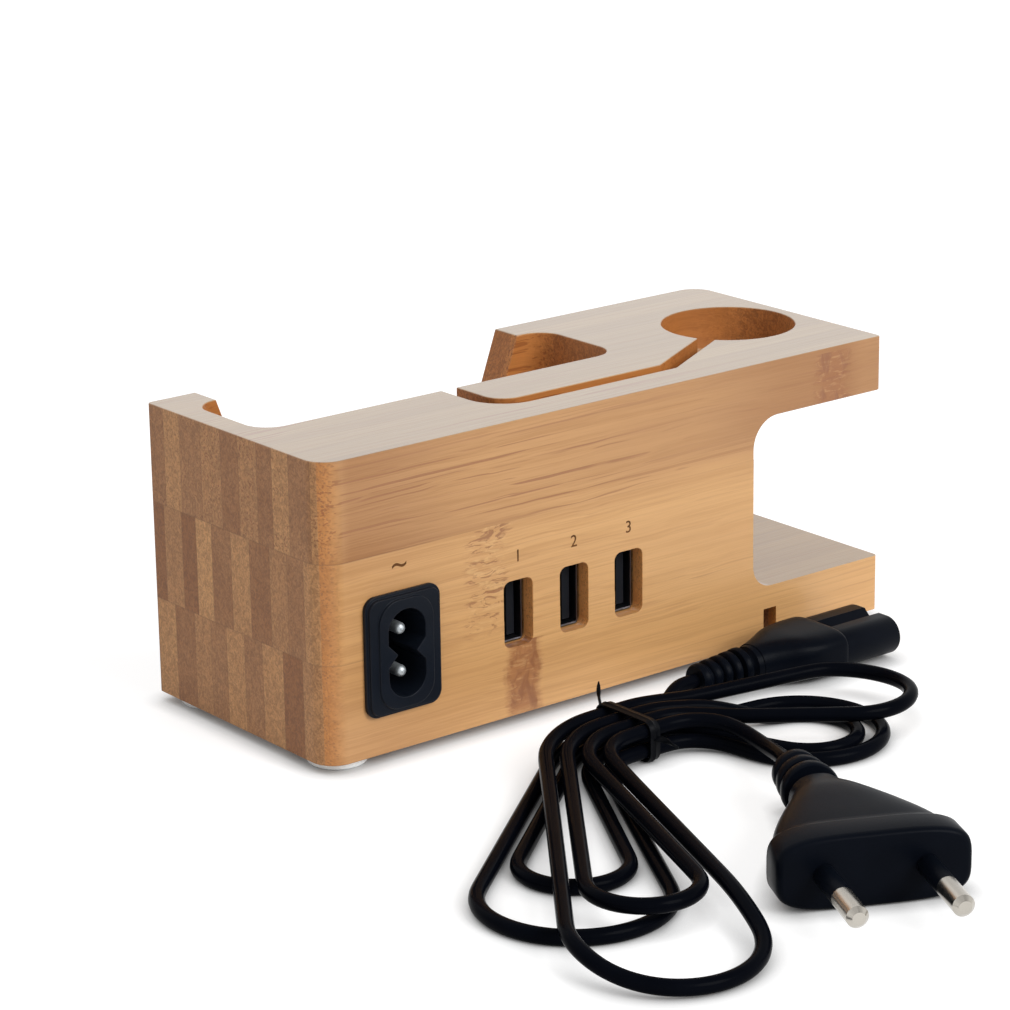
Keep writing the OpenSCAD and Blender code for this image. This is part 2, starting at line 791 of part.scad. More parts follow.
// The hank: every loop leaves the tie round a shoulder, runs straight to its far end, turns
// round it and comes back, so strands of one layer never cross
function ahead(a) = [cos(a), sin(a)];
function leftward(a) = [-sin(a), cos(a)];
function raised_to(a, low) = a + 360 * ceil((low - a) / 360);
function smooth(x) = let (t = max(0, min(1, x))) t * t * (3 - 2 * t);

// Heading of the straight run from a circle a to a circle b; turn is 1 for anticlockwise
function run_heading(a, ra, turn_a, b, rb, turn_b) =
    let (v = b - a) atan2(v[1], v[0]) - asin((turn_b * rb - turn_a * ra) / norm(v));
function on_circle(c, r, turn, heading) = c - turn * r * leftward(heading);

function loop_points(l) =
    let (
        turn = -l[0],
        tip = tie_at + l[1],
        tip_r = l[2],
        shoulder = tie_at + [l[0] * waist_half, -shoulder_r],
        r0 = shoulder_r + l[3],
        r1 = shoulder_r + l[4],
        start = l[0] < 0 ? 180 : 0,
        out = raised_to(run_heading(shoulder, r0, turn, tip, tip_r, 1), l[0] < 0 ? 180 : -360),
        back = raised_to(run_heading(tip, tip_r, 1, shoulder, r1, -turn), out),
        stop = l[0] < 0 ? 360 : 180,
        a = on_circle(shoulder, r0, turn, out),
        b = on_circle(tip, tip_r, 1, out),
        c = on_circle(tip, tip_r, 1, back),
        d = on_circle(shoulder, r1, -turn, back),
        rad = PI / 180,
        s1 = abs(out - start) * r0 * rad,
        s2 = s1 + norm(b - a),
        s3 = s2 + (back - out) * tip_r * rad,
        s4 = s3 + norm(d - c),
        s5 = s4 + abs(stop - back) * r1 * rad
    )
    [
        for (i = [0 : hank_rings])
            let (s = s5 * i / hank_rings)
            s <= s1 ? on_circle(shoulder, r0, turn, start + turn * s / r0 / rad) :
            s <= s2 ? a + (s - s1) * ahead(out) :
            s <= s3 ? on_circle(tip, tip_r, 1, out + (s - s2) / tip_r / rad) :
            s <= s4 ? c + (s - s3) * ahead(back) :
            on_circle(shoulder, r1, -turn, back - turn * (s - s4) / r1 / rad)
    ];

// Lowest turns lie on the floor; the upper ones lie on them and come down beyond them
function lift_at(p) = tie_t * (1 - smooth((abs(p[0] - tie_at[0]) - waist_half - 1) / 16))
    * (1 - smooth((abs(p[1] - tie_at[1]) - outer_slot - 1) / 16));
function rest_on(p, below) =
    let (gap = min([for (q = below) norm(q - p)])) 1 - smooth((gap - 8) / 20);
function hank_path() =
    let (
        flat = [for (l = loops) loop_points(l)],
        below = [for (k = [0 : 3], p = flat[k]) p],
        first = tie_at + [waist_half, loops[0][3]],
        last = tie_at + [waist_half, loops[6][4]]
    )
    concat(
        [[first[0], first[1], cord_r + lift_at(first)]],
        [
            for (k = [0 : len(loops) - 1], i = [0 : hank_rings])
                let (
                    p = flat[k][i],
                    t = i / hank_rings,
                    layer = loops[k][5] > 0 ? rest_on(p, below) :
                        loops[k][6] > 0 ? smooth((t - 0.7) / 0.18) : 0
                )
                [p[0], p[1], cord_r + strand_pitch * layer + lift_at(p)]
        ],
        [[last[0], last[1], cord_r + strand_pitch + lift_at(last)]]
    );

// Least distance between strands that are not neighbours along the cord, less the cord
function refined(p, n) = [
    for (i = [0 : len(p) - 2], k = [0 : n - 1]) p[i] + (p[i + 1] - p[i]) * k / n
];
function least_gap(p, skip) = min([
    for (i = [0 : len(p) - 1 - skip]) min([for (j = [i + skip : len(p) - 1]) norm(p[i] - p[j])])
]) - cord_d;

module cord_hank() {
    path = hank_path();
    echo(hank_gap = least_gap(refined(path, 4), 18), hank_loops = len(loops));
    color("#101114") tube(path, cord_r, hank_sides);
}

module cord_connector_lead() {
    color("#101114") tube(connector_route, cord_r, lead_sides);
}

module cord_plug_lead() {
    color("#101114") tube(plug_route, cord_r, lead_sides);
}

// Twisted tie: a flat band round the strands and two twisted tails
module cord_tie() {
    clearance = 0.15;
    inner_w = 2 * outer_slot + cord_d + 2 * clearance;
    inner_h = strand_pitch + cord_d + 2 * clearance;
    low = tie_t - clearance;
    color("#0c0d0f") translate([tie_at[0], tie_at[1], 0]) {
        translate([-tie_w / 2, 0, 0]) rotate([90, 0, 90]) linear_extrude(tie_w) difference() {
            translate([0, low + inner_h / 2])
                centred_rect(inner_w + 2 * low, inner_h + 2 * low, cord_r + low);
            translate([0, low + inner_h / 2]) centred_rect(inner_w, inner_h, cord_r);
        }
        for (s = [-1, 1]) translate([0, s * (inner_w / 2 + low - 0.3), inner_h * 0.62])
            rotate([-s * 64 + 12, 0, 14]) cylinder(d = 1.3, h = 6.5);
    }
}

base_board();
middle_board();
top_board();
bottom_cover();
cover_screws();
feet();
inlet_housing();
inlet_pins();
inlet_leads();
mains_board();
transformer_core();
transformer_winding();
input_capacitor();
output_capacitors();
rectifier();
fuse();
usb_board();
usb_shell_left();
usb_shell_middle();
usb_shell_right();
usb_tongues();
usb_contacts();
connector_body();
connector_sockets();
connector_relief();
cord_connector_lead();
cord_hank();
cord_plug_lead();
cord_tie();
plug_relief();
plug_body();
plug_sleeves();
plug_pins();
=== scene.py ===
import math

import bmesh
import bpy
import numpy as np
from mathutils import Matrix, Vector


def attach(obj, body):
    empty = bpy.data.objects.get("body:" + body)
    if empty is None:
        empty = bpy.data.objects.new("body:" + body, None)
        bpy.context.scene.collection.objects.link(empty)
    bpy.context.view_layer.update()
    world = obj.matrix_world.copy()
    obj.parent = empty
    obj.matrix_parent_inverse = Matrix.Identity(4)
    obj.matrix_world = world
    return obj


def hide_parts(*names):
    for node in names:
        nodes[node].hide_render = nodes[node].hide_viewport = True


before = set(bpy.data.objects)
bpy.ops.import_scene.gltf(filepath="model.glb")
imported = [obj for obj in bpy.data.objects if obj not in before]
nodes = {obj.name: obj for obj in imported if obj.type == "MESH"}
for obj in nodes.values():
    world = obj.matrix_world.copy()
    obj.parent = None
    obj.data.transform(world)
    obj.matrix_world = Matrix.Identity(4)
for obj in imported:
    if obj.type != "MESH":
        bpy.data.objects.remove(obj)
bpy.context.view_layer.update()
scene = bpy.context.scene
mm = 0.001
print("frame loaded,", len(nodes), "nodes")

# Camera, solved from the block's straight edges
camera = {
    "place": (-429.9, -534.6, 245.5),  # millimetres
    "azimuth": 51.619,
    "elevation": 17.187,
    "roll": -0.833,
    "lens": 125.26,
}


def placeCamera(c):
    a, e, r = (math.radians(c[k]) for k in ("azimuth", "elevation", "roll"))
    ahead = Vector((math.cos(a) * math.cos(e), math.sin(a) * math.cos(e), -math.sin(e)))
    level = Vector((math.sin(a), -math.cos(a), 0))
    upright = level.cross(ahead)
    right = math.cos(r) * level + math.sin(r) * upright
    up = math.cos(r) * upright - math.sin(r) * level
    data = bpy.data.cameras.new("camera")
    data.lens, data.sensor_width = c["lens"], 36
    data.clip_start, data.clip_end = 0.01, 20
    made = bpy.data.objects.new("camera", data)
    scene.collection.objects.link(made)
    turn = Matrix((right, up, -ahead)).transposed().to_4x4()
    made.matrix_world = Matrix.Translation(Vector(c["place"]) * mm) @ turn
    scene.camera = made


placeCamera(camera)
print("camera placed")


# Shader helpers
def addNode(tree, kind, values=None, **settings):
    made = tree.nodes.new(kind)
    for name, value in settings.items():
        setattr(made, name, value)
    for key, value in (values or {}).items():
        if isinstance(value, bpy.types.NodeSocket):
            tree.links.new(value, made.inputs[key])
        else:
            made.inputs[key].default_value = value
    return made


def sums(tree, operation, *values, clamp=False):
    return addNode(tree, "ShaderNodeMath", dict(enumerate(values)), operation=operation, use_clamp=clamp).outputs[0]


def spread(tree, value, low, high, toLow=0.0, toHigh=1.0, smooth=True):
    kind = "SMOOTHSTEP" if smooth else "LINEAR"
    given = {"Value": value, "From Min": low, "From Max": high, "To Min": toLow, "To Max": toHigh}
    return addNode(tree, "ShaderNodeMapRange", given, interpolation_type=kind).outputs[0]


def blend(tree, factor, a, b, how="MIX"):
    made = addNode(tree, "ShaderNodeMix", data_type="RGBA", blend_type=how)
    for at, value in ((0, factor), (6, a), (7, b)):
        if isinstance(value, bpy.types.NodeSocket):
            tree.links.new(value, made.inputs[at])
        elif at == 0:
            made.inputs[0].default_value = value
        else:
            made.inputs[at].default_value = (*value, 1)
    return made.outputs[2]


def ramp(tree, value, stops):
    made = addNode(tree, "ShaderNodeValToRGB", {"Fac": value})
    stop = made.color_ramp.elements
    while len(stop) < len(stops):
        stop.new(0.5)
    for at, (place, colour) in enumerate(stops):
        stop[at].position = place
        stop[at].color = (*colour, 1)
    return made.outputs[0]


def stretched(tree, vector, x, y, z, shift=0.0):
    scaled = addNode(tree, "ShaderNodeVectorMath", {0: vector, 1: (x, y, z)}, operation="MULTIPLY").outputs[0]
    if isinstance(shift, bpy.types.NodeSocket):
        moved = addNode(tree, "ShaderNodeCombineXYZ", {0: shift, 1: shift, 2: shift}).outputs[0]
        return addNode(tree, "ShaderNodeVectorMath", {0: scaled, 1: moved}, operation="ADD").outputs[0]
    return scaled


def noise(tree, vector, detail=3.0, rough=0.55, distortion=0.0):
    given = {"Vector": vector, "Scale": 1.0, "Detail": detail, "Roughness": rough, "Distortion": distortion}
    return addNode(tree, "ShaderNodeTexNoise", given).outputs["Fac"]


def newGroup(name, inputs, outputs):
    tree = bpy.data.node_groups.new(name, "ShaderNodeTree")
    for label, kind, default in inputs:
        made = tree.interface.new_socket(name=label, in_out="INPUT", socket_type=kind)
        if default is not None:
            made.default_value = default
    for label, kind in outputs:
        tree.interface.new_socket(name=label, in_out="OUTPUT", socket_type=kind)
    return tree, tree.nodes.new("NodeGroupInput").outputs, tree.nodes.new("NodeGroupOutput").inputs


number, arrow, tint = "NodeSocketFloat", "NodeSocketVector", "NodeSocketColor"


def makeStripGroup():
    # Boards are glued from strips that lie side by side, with their own tone and their own joints
    tree, given, out = newGroup(
        "laminatedStrips",
        [("Vector", arrow, None), ("Strips per metre", number, 165.0), ("Board height", number, 0.02),
         ("Base height", number, 0.002), ("Alternation", number, 0.45)],
        [("Tone", number), ("Joint", number), ("Seam", number), ("Board", number), ("Strip", number)],
    )
    at = addNode(tree, "ShaderNodeSeparateXYZ", {0: given["Vector"]}).outputs
    height = sums(tree, "SUBTRACT", at[2], given["Base height"])
    board = sums(tree, "FLOOR", sums(tree, "DIVIDE", height, given["Board height"]))
    board = sums(tree, "MINIMUM", sums(tree, "MAXIMUM", board, 0.0), 2.0)
    across = sums(tree, "MULTIPLY", at[1], given["Strips per metre"])
    across = sums(tree, "MULTIPLY_ADD", board, 4.4, sums(tree, "ADD", across, 31.0))
    cells = {"W": across, "Scale": 1.0, "Randomness": 0.55}
    cell = addNode(tree, "ShaderNodeTexVoronoi", cells, voronoi_dimensions="1D")
    edge = addNode(tree, "ShaderNodeTexVoronoi", cells, voronoi_dimensions="1D", feature="DISTANCE_TO_EDGE")
    colour = addNode(tree, "ShaderNodeSeparateColor", {0: cell.outputs["Color"]}).outputs
    odd = sums(tree, "MODULO", sums(tree, "ABSOLUTE", sums(tree, "FLOOR", cell.outputs["W"])), 2.0)
    tone = sums(tree, "MULTIPLY_ADD", odd, given["Alternation"], sums(
        tree, "MULTIPLY", colour[0], sums(tree, "SUBTRACT", 1.0, given["Alternation"])))
    seam = sums(tree, "ABSOLUTE", sums(tree, "SUBTRACT", sums(tree, "FRACT", sums(
        tree, "ADD", sums(tree, "DIVIDE", height, given["Board height"]), 0.5)), 0.5))
    joint = spread(tree, edge.outputs["Distance"], 0.0, 0.03, 1.0, 0.0)
    seam = spread(tree, seam, 0.003, 0.011, 1.0, 0.0)
    link = tree.links.new
    link(tone, out["Tone"])
    link(sums(tree, "MAXIMUM", joint, seam), out["Joint"])
    link(seam, out["Seam"])
    link(board, out["Board"])
    link(colour[1], out["Strip"])
    return tree


def makeFibreGroup():
    # Fibres run along X, so the same field gives streaks on the long faces and specks on the ends
    tree, given, out = newGroup(
        "bambooFibre",
        [("Vector", arrow, None), ("Shift", number, 0.0)],
        [("Streak", number), ("Line", number), ("Pore", number), ("Cloud", number), ("Pebble", number)],
    )
    broad = noise(tree, stretched(tree, given["Vector"], 13, 640, 640, given["Shift"]), 4, 0.6)
    fine = noise(tree, stretched(tree, given["Vector"], 34, 2600, 2600, given["Shift"]), 2, 0.5)
    thin = noise(tree, stretched(tree, given["Vector"], 15, 1900, 1900, given["Shift"]), 1.5, 0.4, 0.25)
    cloud = noise(tree, stretched(tree, given["Vector"], 9, 70, 70, given["Shift"]), 2, 0.5)
    pores = addNode(tree, "ShaderNodeTexVoronoi", {
        "Vector": stretched(tree, given["Vector"], 70, 2100, 1700, given["Shift"]), "Scale": 1.0,
    })
    pebble = noise(tree, stretched(tree, given["Vector"], 300, 1250, 1000, given["Shift"]), 2, 0.55, 1.2)
    streak = sums(tree, "MULTIPLY_ADD", fine, 0.4, sums(tree, "MULTIPLY", broad, 0.6))
    link = tree.links.new
    link(spread(tree, streak, 0.36, 0.64), out["Streak"])
    link(spread(tree, thin, 0.565, 0.67), out["Line"])
    link(spread(tree, pores.outputs["Distance"], 0.16, 0.42, 1.0, 0.0), out["Pore"])
    link(spread(tree, cloud, 0.35, 0.68), out["Cloud"])
    link(spread(tree, pebble, 0.36, 0.66), out["Pebble"])
    return tree


def makeKnuckleGroup():
    # A joint of the cane: a short band across the fibres, with dashes along them and bars across
    tree, given, out = newGroup(
        "caneKnuckle",
        [("Vector", arrow, None), ("Along", number, 0.0), ("Half width", number, 0.005),
         ("Low", number, 0.0), ("High", number, 0.02), ("Ragged", number, 1.0)],
        [("Mask", number), ("Dash", number), ("Pale", number), ("Bar", number)],
    )
    at = addNode(tree, "ShaderNodeSeparateXYZ", {0: given["Vector"]}).outputs
    wander = noise(tree, stretched(tree, given["Vector"], 60, 60, 160), 2, 0.6)
    ragged = noise(tree, stretched(tree, given["Vector"], 250, 250, 1500), 3, 0.6)
    offset = sums(tree, "MULTIPLY_ADD", sums(tree, "SUBTRACT", wander, 0.5), 0.010, sums(
        tree, "MULTIPLY", sums(tree, "SUBTRACT", ragged, 0.5), 0.008))
    offset = sums(tree, "MULTIPLY", offset, given["Ragged"])
    away = sums(tree, "ABSOLUTE", sums(tree, "ADD", sums(tree, "SUBTRACT", at[0], given["Along"]), offset))
    inside = spread(tree, sums(tree, "DIVIDE", away, given["Half width"]), 0.55, 1.1, 1.0, 0.0)
    low = spread(tree, sums(tree, "SUBTRACT", at[2], given["Low"]), 0.0, 0.004)
    high = sums(tree, "LESS_THAN", at[2], given["High"])
    dash = noise(tree, stretched(tree, given["Vector"], 250, 250, 880), 3, 0.6, 1.0)
    pale = noise(tree, stretched(tree, given["Vector"], 370, 370, 1350, given["Along"]), 2, 0.5, 0.7)
    bar = noise(tree, stretched(tree, given["Vector"], 300, 300, 150), 3, 0.6, 1.1)
    mask = sums(tree, "MULTIPLY", sums(tree, "MULTIPLY", inside, low), high)
    tree.links.new(mask, out["Mask"])
    tree.links.new(spread(tree, dash, 0.52, 0.64), out["Dash"])
    tree.links.new(spread(tree, pale, 0.52, 0.68), out["Pale"])
    tree.links.new(spread(tree, bar, 0.44, 0.66), out["Bar"])
    return tree


def makeGrainGroup():
    # Fine moulded or rolled surface: a colour mask, a roughness and a height
    tree, given, out = newGroup(
        "surfaceGrain",
        [("Vector", arrow, None), ("Grain per metre", number, 3000.0), ("Roughness", number, 0.4),
         ("Swing", number, 0.1)],
        [("Cloud", number), ("Roughness", number), ("Height", number)],
    )
    scaled = addNode(tree, "ShaderNodeVectorMath", {0: given["Vector"], "Scale": given["Grain per metre"]},
                     operation="SCALE").outputs[0]
    fine = noise(tree, scaled, 3, 0.6)
    cloud = noise(tree, stretched(tree, given["Vector"], 90, 90, 90), 3, 0.6)
    swing = sums(tree, "MULTIPLY", sums(tree, "SUBTRACT", cloud, 0.5), given["Swing"])
    tree.links.new(spread(tree, cloud, 0.3, 0.7), out["Cloud"])
    tree.links.new(sums(tree, "ADD", given["Roughness"], swing), out["Roughness"])
    tree.links.new(fine, out["Height"])
    return tree


stripGroup, fibreGroup = makeStripGroup(), makeFibreGroup()
knuckleGroup, grainGroup = makeKnuckleGroup(), makeGrainGroup()


def newMaterial(name):
    made = bpy.data.materials.new(name)
    made.use_nodes = True
    tree = made.node_tree
    shader = tree.nodes["Principled BSDF"]
    place = addNode(tree, "ShaderNodeTexCoord").outputs["Object"]
    return made, tree, shader, place


def useGroup(tree, group, values):
    made = addNode(tree, "ShaderNodeGroup", node_tree=group)
    for key, value in values.items():
        if isinstance(value, bpy.types.NodeSocket):
            tree.links.new(value, made.inputs[key])
        else:
            made.inputs[key].default_value = value
    return made.outputs


bamboo = {
    "tones": [(0.0, (0.345, 0.145, 0.043)), (0.35, (0.465, 0.233, 0.09)), (0.7, (0.585, 0.31, 0.12)),
              (1.0, (0.70, 0.39, 0.155))],
    "rear": -25.6,  # the outermost strip starts here, millimetres
    # tones along the rear face, from one end to the other: top board, then the boards below
    "topTones": [(-71, 0.7), (-65, 0.19), (-32, 0.57), (15, 0.52), (50, 0.14),
                 (60, 0.02), (68, 0.24)],
    "lowTones": [(-62, 0.68), (-30, 0.9), (5, 1.0)],
    "calmTone": 0.62,
    "contrast": (1.5, 0.85),  # between strips: lower boards, top board
    # end faces: the end grain's own darker colour, darkened further as painted shade
    "endGrainAndPaintedShade": (0.78, 0.72, 0.72),
    "cornerShade": (0.90, 0.67, 0.37),
    # milled walls: their own darker colour, with painted shade and painted warm reflected light of the recesses
    "milledToneAndPaintedShade": (0.88, 0.64, 0.42),
    # upper faces: a painted sheen, less red and less saturated
    "topPaintedSheen": (0.73, 0.885, 1.04),
    # ports' side walls: painted light, a bright orange
    "portWallPaintedLight": (0.79, 0.38, 0.13),
    "wave": 0.0017,
    # middle, half width, low and high in millimetres, raggedness, stain, dashes, pale specks, bars
    "knuckles": [
        (-33.3, 6.0, 19, 42, 1.0, 0.08, 0.72, 0.4, 0.0), (-24.0, 4.7, 0, 17, 0.4, 0.72, 0.5, 0.25, 0.85),
        (58.5, 5.0, 46, 61, 0.9, 0.42, 0.55, 0.20, 0.8),
    ],
    "stain": (0.33, 0.112, 0.034),
    "mark": (0.27, 0.10, 0.035),
    "lacquer": 0.42,
    "topLacquer": 0.3,
    "relief": 0.12,
    "topCoat": 1.0,
    "shelfCoat": 0.6,
    "sideCoat": 0.15,
}


def between(tree, value, low, high):
    above = sums(tree, "GREATER_THAN", value, low * mm)
    return sums(tree, "MULTIPLY", above, sums(tree, "LESS_THAN", value, high * mm))


def mixed(tree, factor, a, b):
    return addNode(tree, "ShaderNodeMix", {0: factor, 2: a, 3: b}, data_type="FLOAT").outputs[0]


def along(tree, value, stops):
    (start, tone), *later = stops
    for stop, toned in later:
        tone = spread(tree, value, start * mm, stop * mm, tone, toned)
        start = stop
    return tone


def milledWalls(tree, at, upright):
    # Walls of the pocket, the slot and the watch seat, but not the block's outer faces
    inY, inX = between(tree, at[1], -21, 29.9), between(tree, at[0], -71.8, 71.8)
    besideArm = sums(tree, "MAXIMUM", sums(tree, "LESS_THAN", at[0], 36.1 * mm), sums(tree, "GREATER_THAN", at[2], 50.5 * mm))
    inside = sums(tree, "MULTIPLY", sums(tree, "MULTIPLY", inY, inX), besideArm)
    return sums(tree, "MULTIPLY", inside, sums(tree, "LESS_THAN", upright, 0.5))


def makeBamboo():
    b = bamboo
    made, tree, shader, place = newMaterial("oiledBamboo")
    at = addNode(tree, "ShaderNodeSeparateXYZ", {0: place}).outputs
    strips = useGroup(tree, stripGroup, {"Vector": place})
    shift = sums(tree, "MULTIPLY_ADD", strips["Board"], 5.3, sums(tree, "MULTIPLY", strips["Strip"], 3.0))
    wave = sums(tree, "SUBTRACT", noise(tree, stretched(tree, place, 38, 90, 90), 2, 0.5), 0.5)
    wave = sums(tree, "MULTIPLY", wave, b["wave"])
    sway = addNode(tree, "ShaderNodeCombineXYZ", {1: wave, 2: wave}).outputs[0]
    swayed = addNode(tree, "ShaderNodeVectorMath", {0: place, 1: sway}, operation="ADD").outputs[0]
    fibre = useGroup(tree, fibreGroup, {"Vector": swayed, "Shift": shift})
    normal = addNode(tree, "ShaderNodeNewGeometry").outputs["Normal"]
    facing = addNode(tree, "ShaderNodeSeparateXYZ", {0: normal}).outputs
    endways = sums(tree, "ABSOLUTE", facing[0])
    upright = sums(tree, "ABSOLUTE", facing[2])
    isEnd = spread(tree, endways, 0.55, 0.9)
    isUp = spread(tree, facing[2], 0.6, 0.9)
    isTop = sums(tree, "GREATER_THAN", strips["Board"], 1.5)
    isWall = milledWalls(tree, at, upright)
    isRear = spread(tree, at[1], (b["rear"] - 0.1) * mm, b["rear"] * mm, 1.0, 0.0)
    isCorner = sums(tree, "MULTIPLY", spread(tree, endways, 0.0, 0.8), isRear)
    # The ports' side walls get painted light, and no end-face shade
    paintedLightAtPorts = sums(tree, "MULTIPLY", between(tree, at[1], -27.9, -25), between(tree, at[0], -32, 12))
    paintedLightAtPorts = sums(tree, "MULTIPLY", paintedLightAtPorts, between(tree, at[2], 12, 34))
    isEnd = sums(tree, "MULTIPLY", isEnd, sums(tree, "SUBTRACT", 1.0, sums(tree, "MAXIMUM", isRear, paintedLightAtPorts)))
    # Tone of each strip; the upper faces and the milled walls are calmer, and the rear face is one strip
    calm = sums(tree, "MAXIMUM", sums(tree, "MULTIPLY", isUp, 0.8), sums(tree, "MULTIPLY", isWall, 0.75))
    calm = sums(tree, "MAXIMUM", calm, sums(tree, "MULTIPLY", isEnd, 0.15))
    stripTone = sums(tree, "MULTIPLY", sums(tree, "SUBTRACT", strips["Tone"], 0.5), mixed(tree, isTop, *b["contrast"]))
    stripTone = mixed(tree, calm, sums(tree, "ADD", stripTone, 0.5), b["calmTone"])
    # Left of the ports the top board's rear face ends sharply at its seam, and then more and more softly
    softly = spread(tree, at[2], 35 * mm, 50 * mm)
    isTopTone = mixed(tree, spread(tree, at[0], -45 * mm, -10 * mm), isTop, softly)
    rearTone = mixed(tree, isTopTone, along(tree, at[0], b["lowTones"]), along(tree, at[0], b["topTones"]))
    tone = mixed(tree, isRear, stripTone, mixed(tree, isUp, rearTone, b["calmTone"]))
    tone = sums(tree, "MULTIPLY_ADD", sums(tree, "SUBTRACT", fibre["Cloud"], 0.5), 0.16, tone)
    colour = ramp(tree, tone, b["tones"])
    streaks = ramp(tree, fibre["Streak"], [
        (0.0, (0.88, 0.84, 0.78)), (0.5, (0.98, 0.97, 0.95)), (1.0, (1.05, 1.05, 1.05))])
    # The rear face's grain grows calmer from the inlet towards the arm
    grainy = mixed(tree, isRear, 0.9, spread(tree, at[0], -25 * mm, 30 * mm, 0.9, 0.5))
    streaked = blend(tree, mixed(tree, isUp, grainy, 0.5), colour, streaks, "MULTIPLY")
    # Upper faces are made less red and less saturated: a painted sheen
    streaked = blend(tree, isUp, streaked, blend(tree, 1.0, streaked, b["topPaintedSheen"], "MULTIPLY"))
    # Thin reddish lines, strongest in the left of the top board
    topLines = spread(tree, at[0], 5 * mm, 40 * mm, 0.8, 0.3)
    lines = sums(tree, "MULTIPLY", fibre["Line"], mixed(tree, isTop, 0.2, topLines))
    lines = sums(tree, "MULTIPLY", lines, spread(tree, fibre["Cloud"], 0.1, 0.9, 0.35, 1.0))
    lined = blend(tree, lines, streaked, (0.33, 0.135, 0.05))
    # End grain is darker and full of pores, and so are the corners and the milled walls; on the end faces and the
    # milled walls the darkening is partly the wood's own colour and partly painted shade, and the ports' side walls
    # get painted light
    # Painted shade on the end faces, over the end grain's own darker colour
    ended = blend(tree, isEnd, lined, blend(tree, 1.0, lined, b["endGrainAndPaintedShade"], "MULTIPLY"))
    ended = blend(tree, isCorner, ended, blend(tree, 1.0, ended, b["cornerShade"], "MULTIPLY"))
    # Milled walls: painted shade and painted warm reflected light of the recesses, over their own darker colour
    ended = blend(tree, isWall, ended, blend(tree, 1.0, lined, b["milledToneAndPaintedShade"], "MULTIPLY"))
    # Painted light on the ports' side walls: a bright orange
    ended = blend(tree, sums(tree, "MULTIPLY", paintedLightAtPorts, 0.8), ended, b["portWallPaintedLight"])
    grainy = sums(tree, "MAXIMUM", isEnd, sums(tree, "MULTIPLY", isCorner, 0.45))
    pebbled = ramp(tree, fibre["Pebble"], [(0.0, (0.72, 0.70, 0.68)), (0.5, (0.98, 0.98, 0.97)), (1.0, (1.2, 1.2, 1.2))])
    ended = blend(tree, sums(tree, "MULTIPLY", grainy, 0.75), ended, blend(tree, 1.0, ended, pebbled, "MULTIPLY"))
    pores = sums(tree, "MULTIPLY", fibre["Pore"], mixed(tree, isEnd, mixed(tree, isCorner, 0.04, 0.42), 0.35))
    pored = blend(tree, pores, ended, (0.17, 0.08, 0.032))
    plain = sums(tree, "MAXIMUM", isWall, sums(tree, "MAXIMUM", isRear, isUp))
    seams = sums(tree, "MULTIPLY", strips["Joint"], mixed(tree, plain, 0.3, 0.06))
    rearSeam = sums(tree, "MULTIPLY", isRear, spread(tree, at[0], -60 * mm, -38 * mm, 0.3, 0.0))
    seams = sums(tree, "MAXIMUM", seams, sums(tree, "MULTIPLY", strips["Seam"], rearSeam))
    jointed = blend(tree, seams, pored, (0.16, 0.075, 0.03))
    height = sums(tree, "MULTIPLY_ADD", fibre["Streak"], 0.5, sums(tree, "MULTIPLY", pores, -1.0))
    height = sums(tree, "MULTIPLY_ADD", seams, -2.0, height)
    height = sums(tree, "MULTIPLY_ADD", sums(tree, "MULTIPLY", grainy, fibre["Pebble"]), 1.2, height)
    for middle, half, low, high, rough, stain, dash, pale, bar in b["knuckles"]:
        band = useGroup(tree, knuckleGroup, {
            "Vector": place, "Along": middle * mm, "Half width": half * mm, "Low": low * mm, "High": high * mm,
            "Ragged": rough})
        mask = sums(tree, "MULTIPLY", band["Mask"], isRear)
        jointed = blend(tree, sums(tree, "MULTIPLY", mask, stain), jointed, b["stain"])
        light = sums(tree, "MULTIPLY", sums(tree, "MULTIPLY", mask, band["Pale"]), pale)
        jointed = blend(tree, light, jointed, (0.80, 0.50, 0.22))
        deep = sums(tree, "MULTIPLY", sums(tree, "MULTIPLY", mask, band["Dash"]), dash)
        deep = sums(tree, "MAXIMUM", deep, sums(tree, "MULTIPLY", sums(tree, "MULTIPLY", mask, band["Bar"]), bar))
        jointed = blend(tree, deep, jointed, b["mark"])
        height = sums(tree, "MULTIPLY_ADD", deep, -2.0, height)
    tree.links.new(jointed, shader.inputs["Base Color"])
    rough = spread(tree, fibre["Streak"], 0.0, 1.0, b["lacquer"] + 0.06, b["lacquer"] - 0.04, smooth=False)
    rough = mixed(tree, isEnd, rough, 0.6)
    tree.links.new(mixed(tree, isUp, rough, b["topLacquer"]), shader.inputs["Roughness"])
    bump = addNode(tree, "ShaderNodeBump", {"Height": height, "Strength": b["relief"], "Distance": 0.0004})
    tree.links.new(bump.outputs[0], shader.inputs["Normal"])
    upCoat = mixed(tree, isTop, b["shelfCoat"], b["topCoat"])
    sideCoat = mixed(tree, isEnd, b["sideCoat"], 0.0)  # the end grain soaks its lacquer up
    tree.links.new(mixed(tree, isUp, sideCoat, upCoat), shader.inputs["Coat Weight"])
    shader.inputs["Coat Roughness"].default_value = 0.22
    shader.inputs["Coat IOR"].default_value = 1.8
    return made


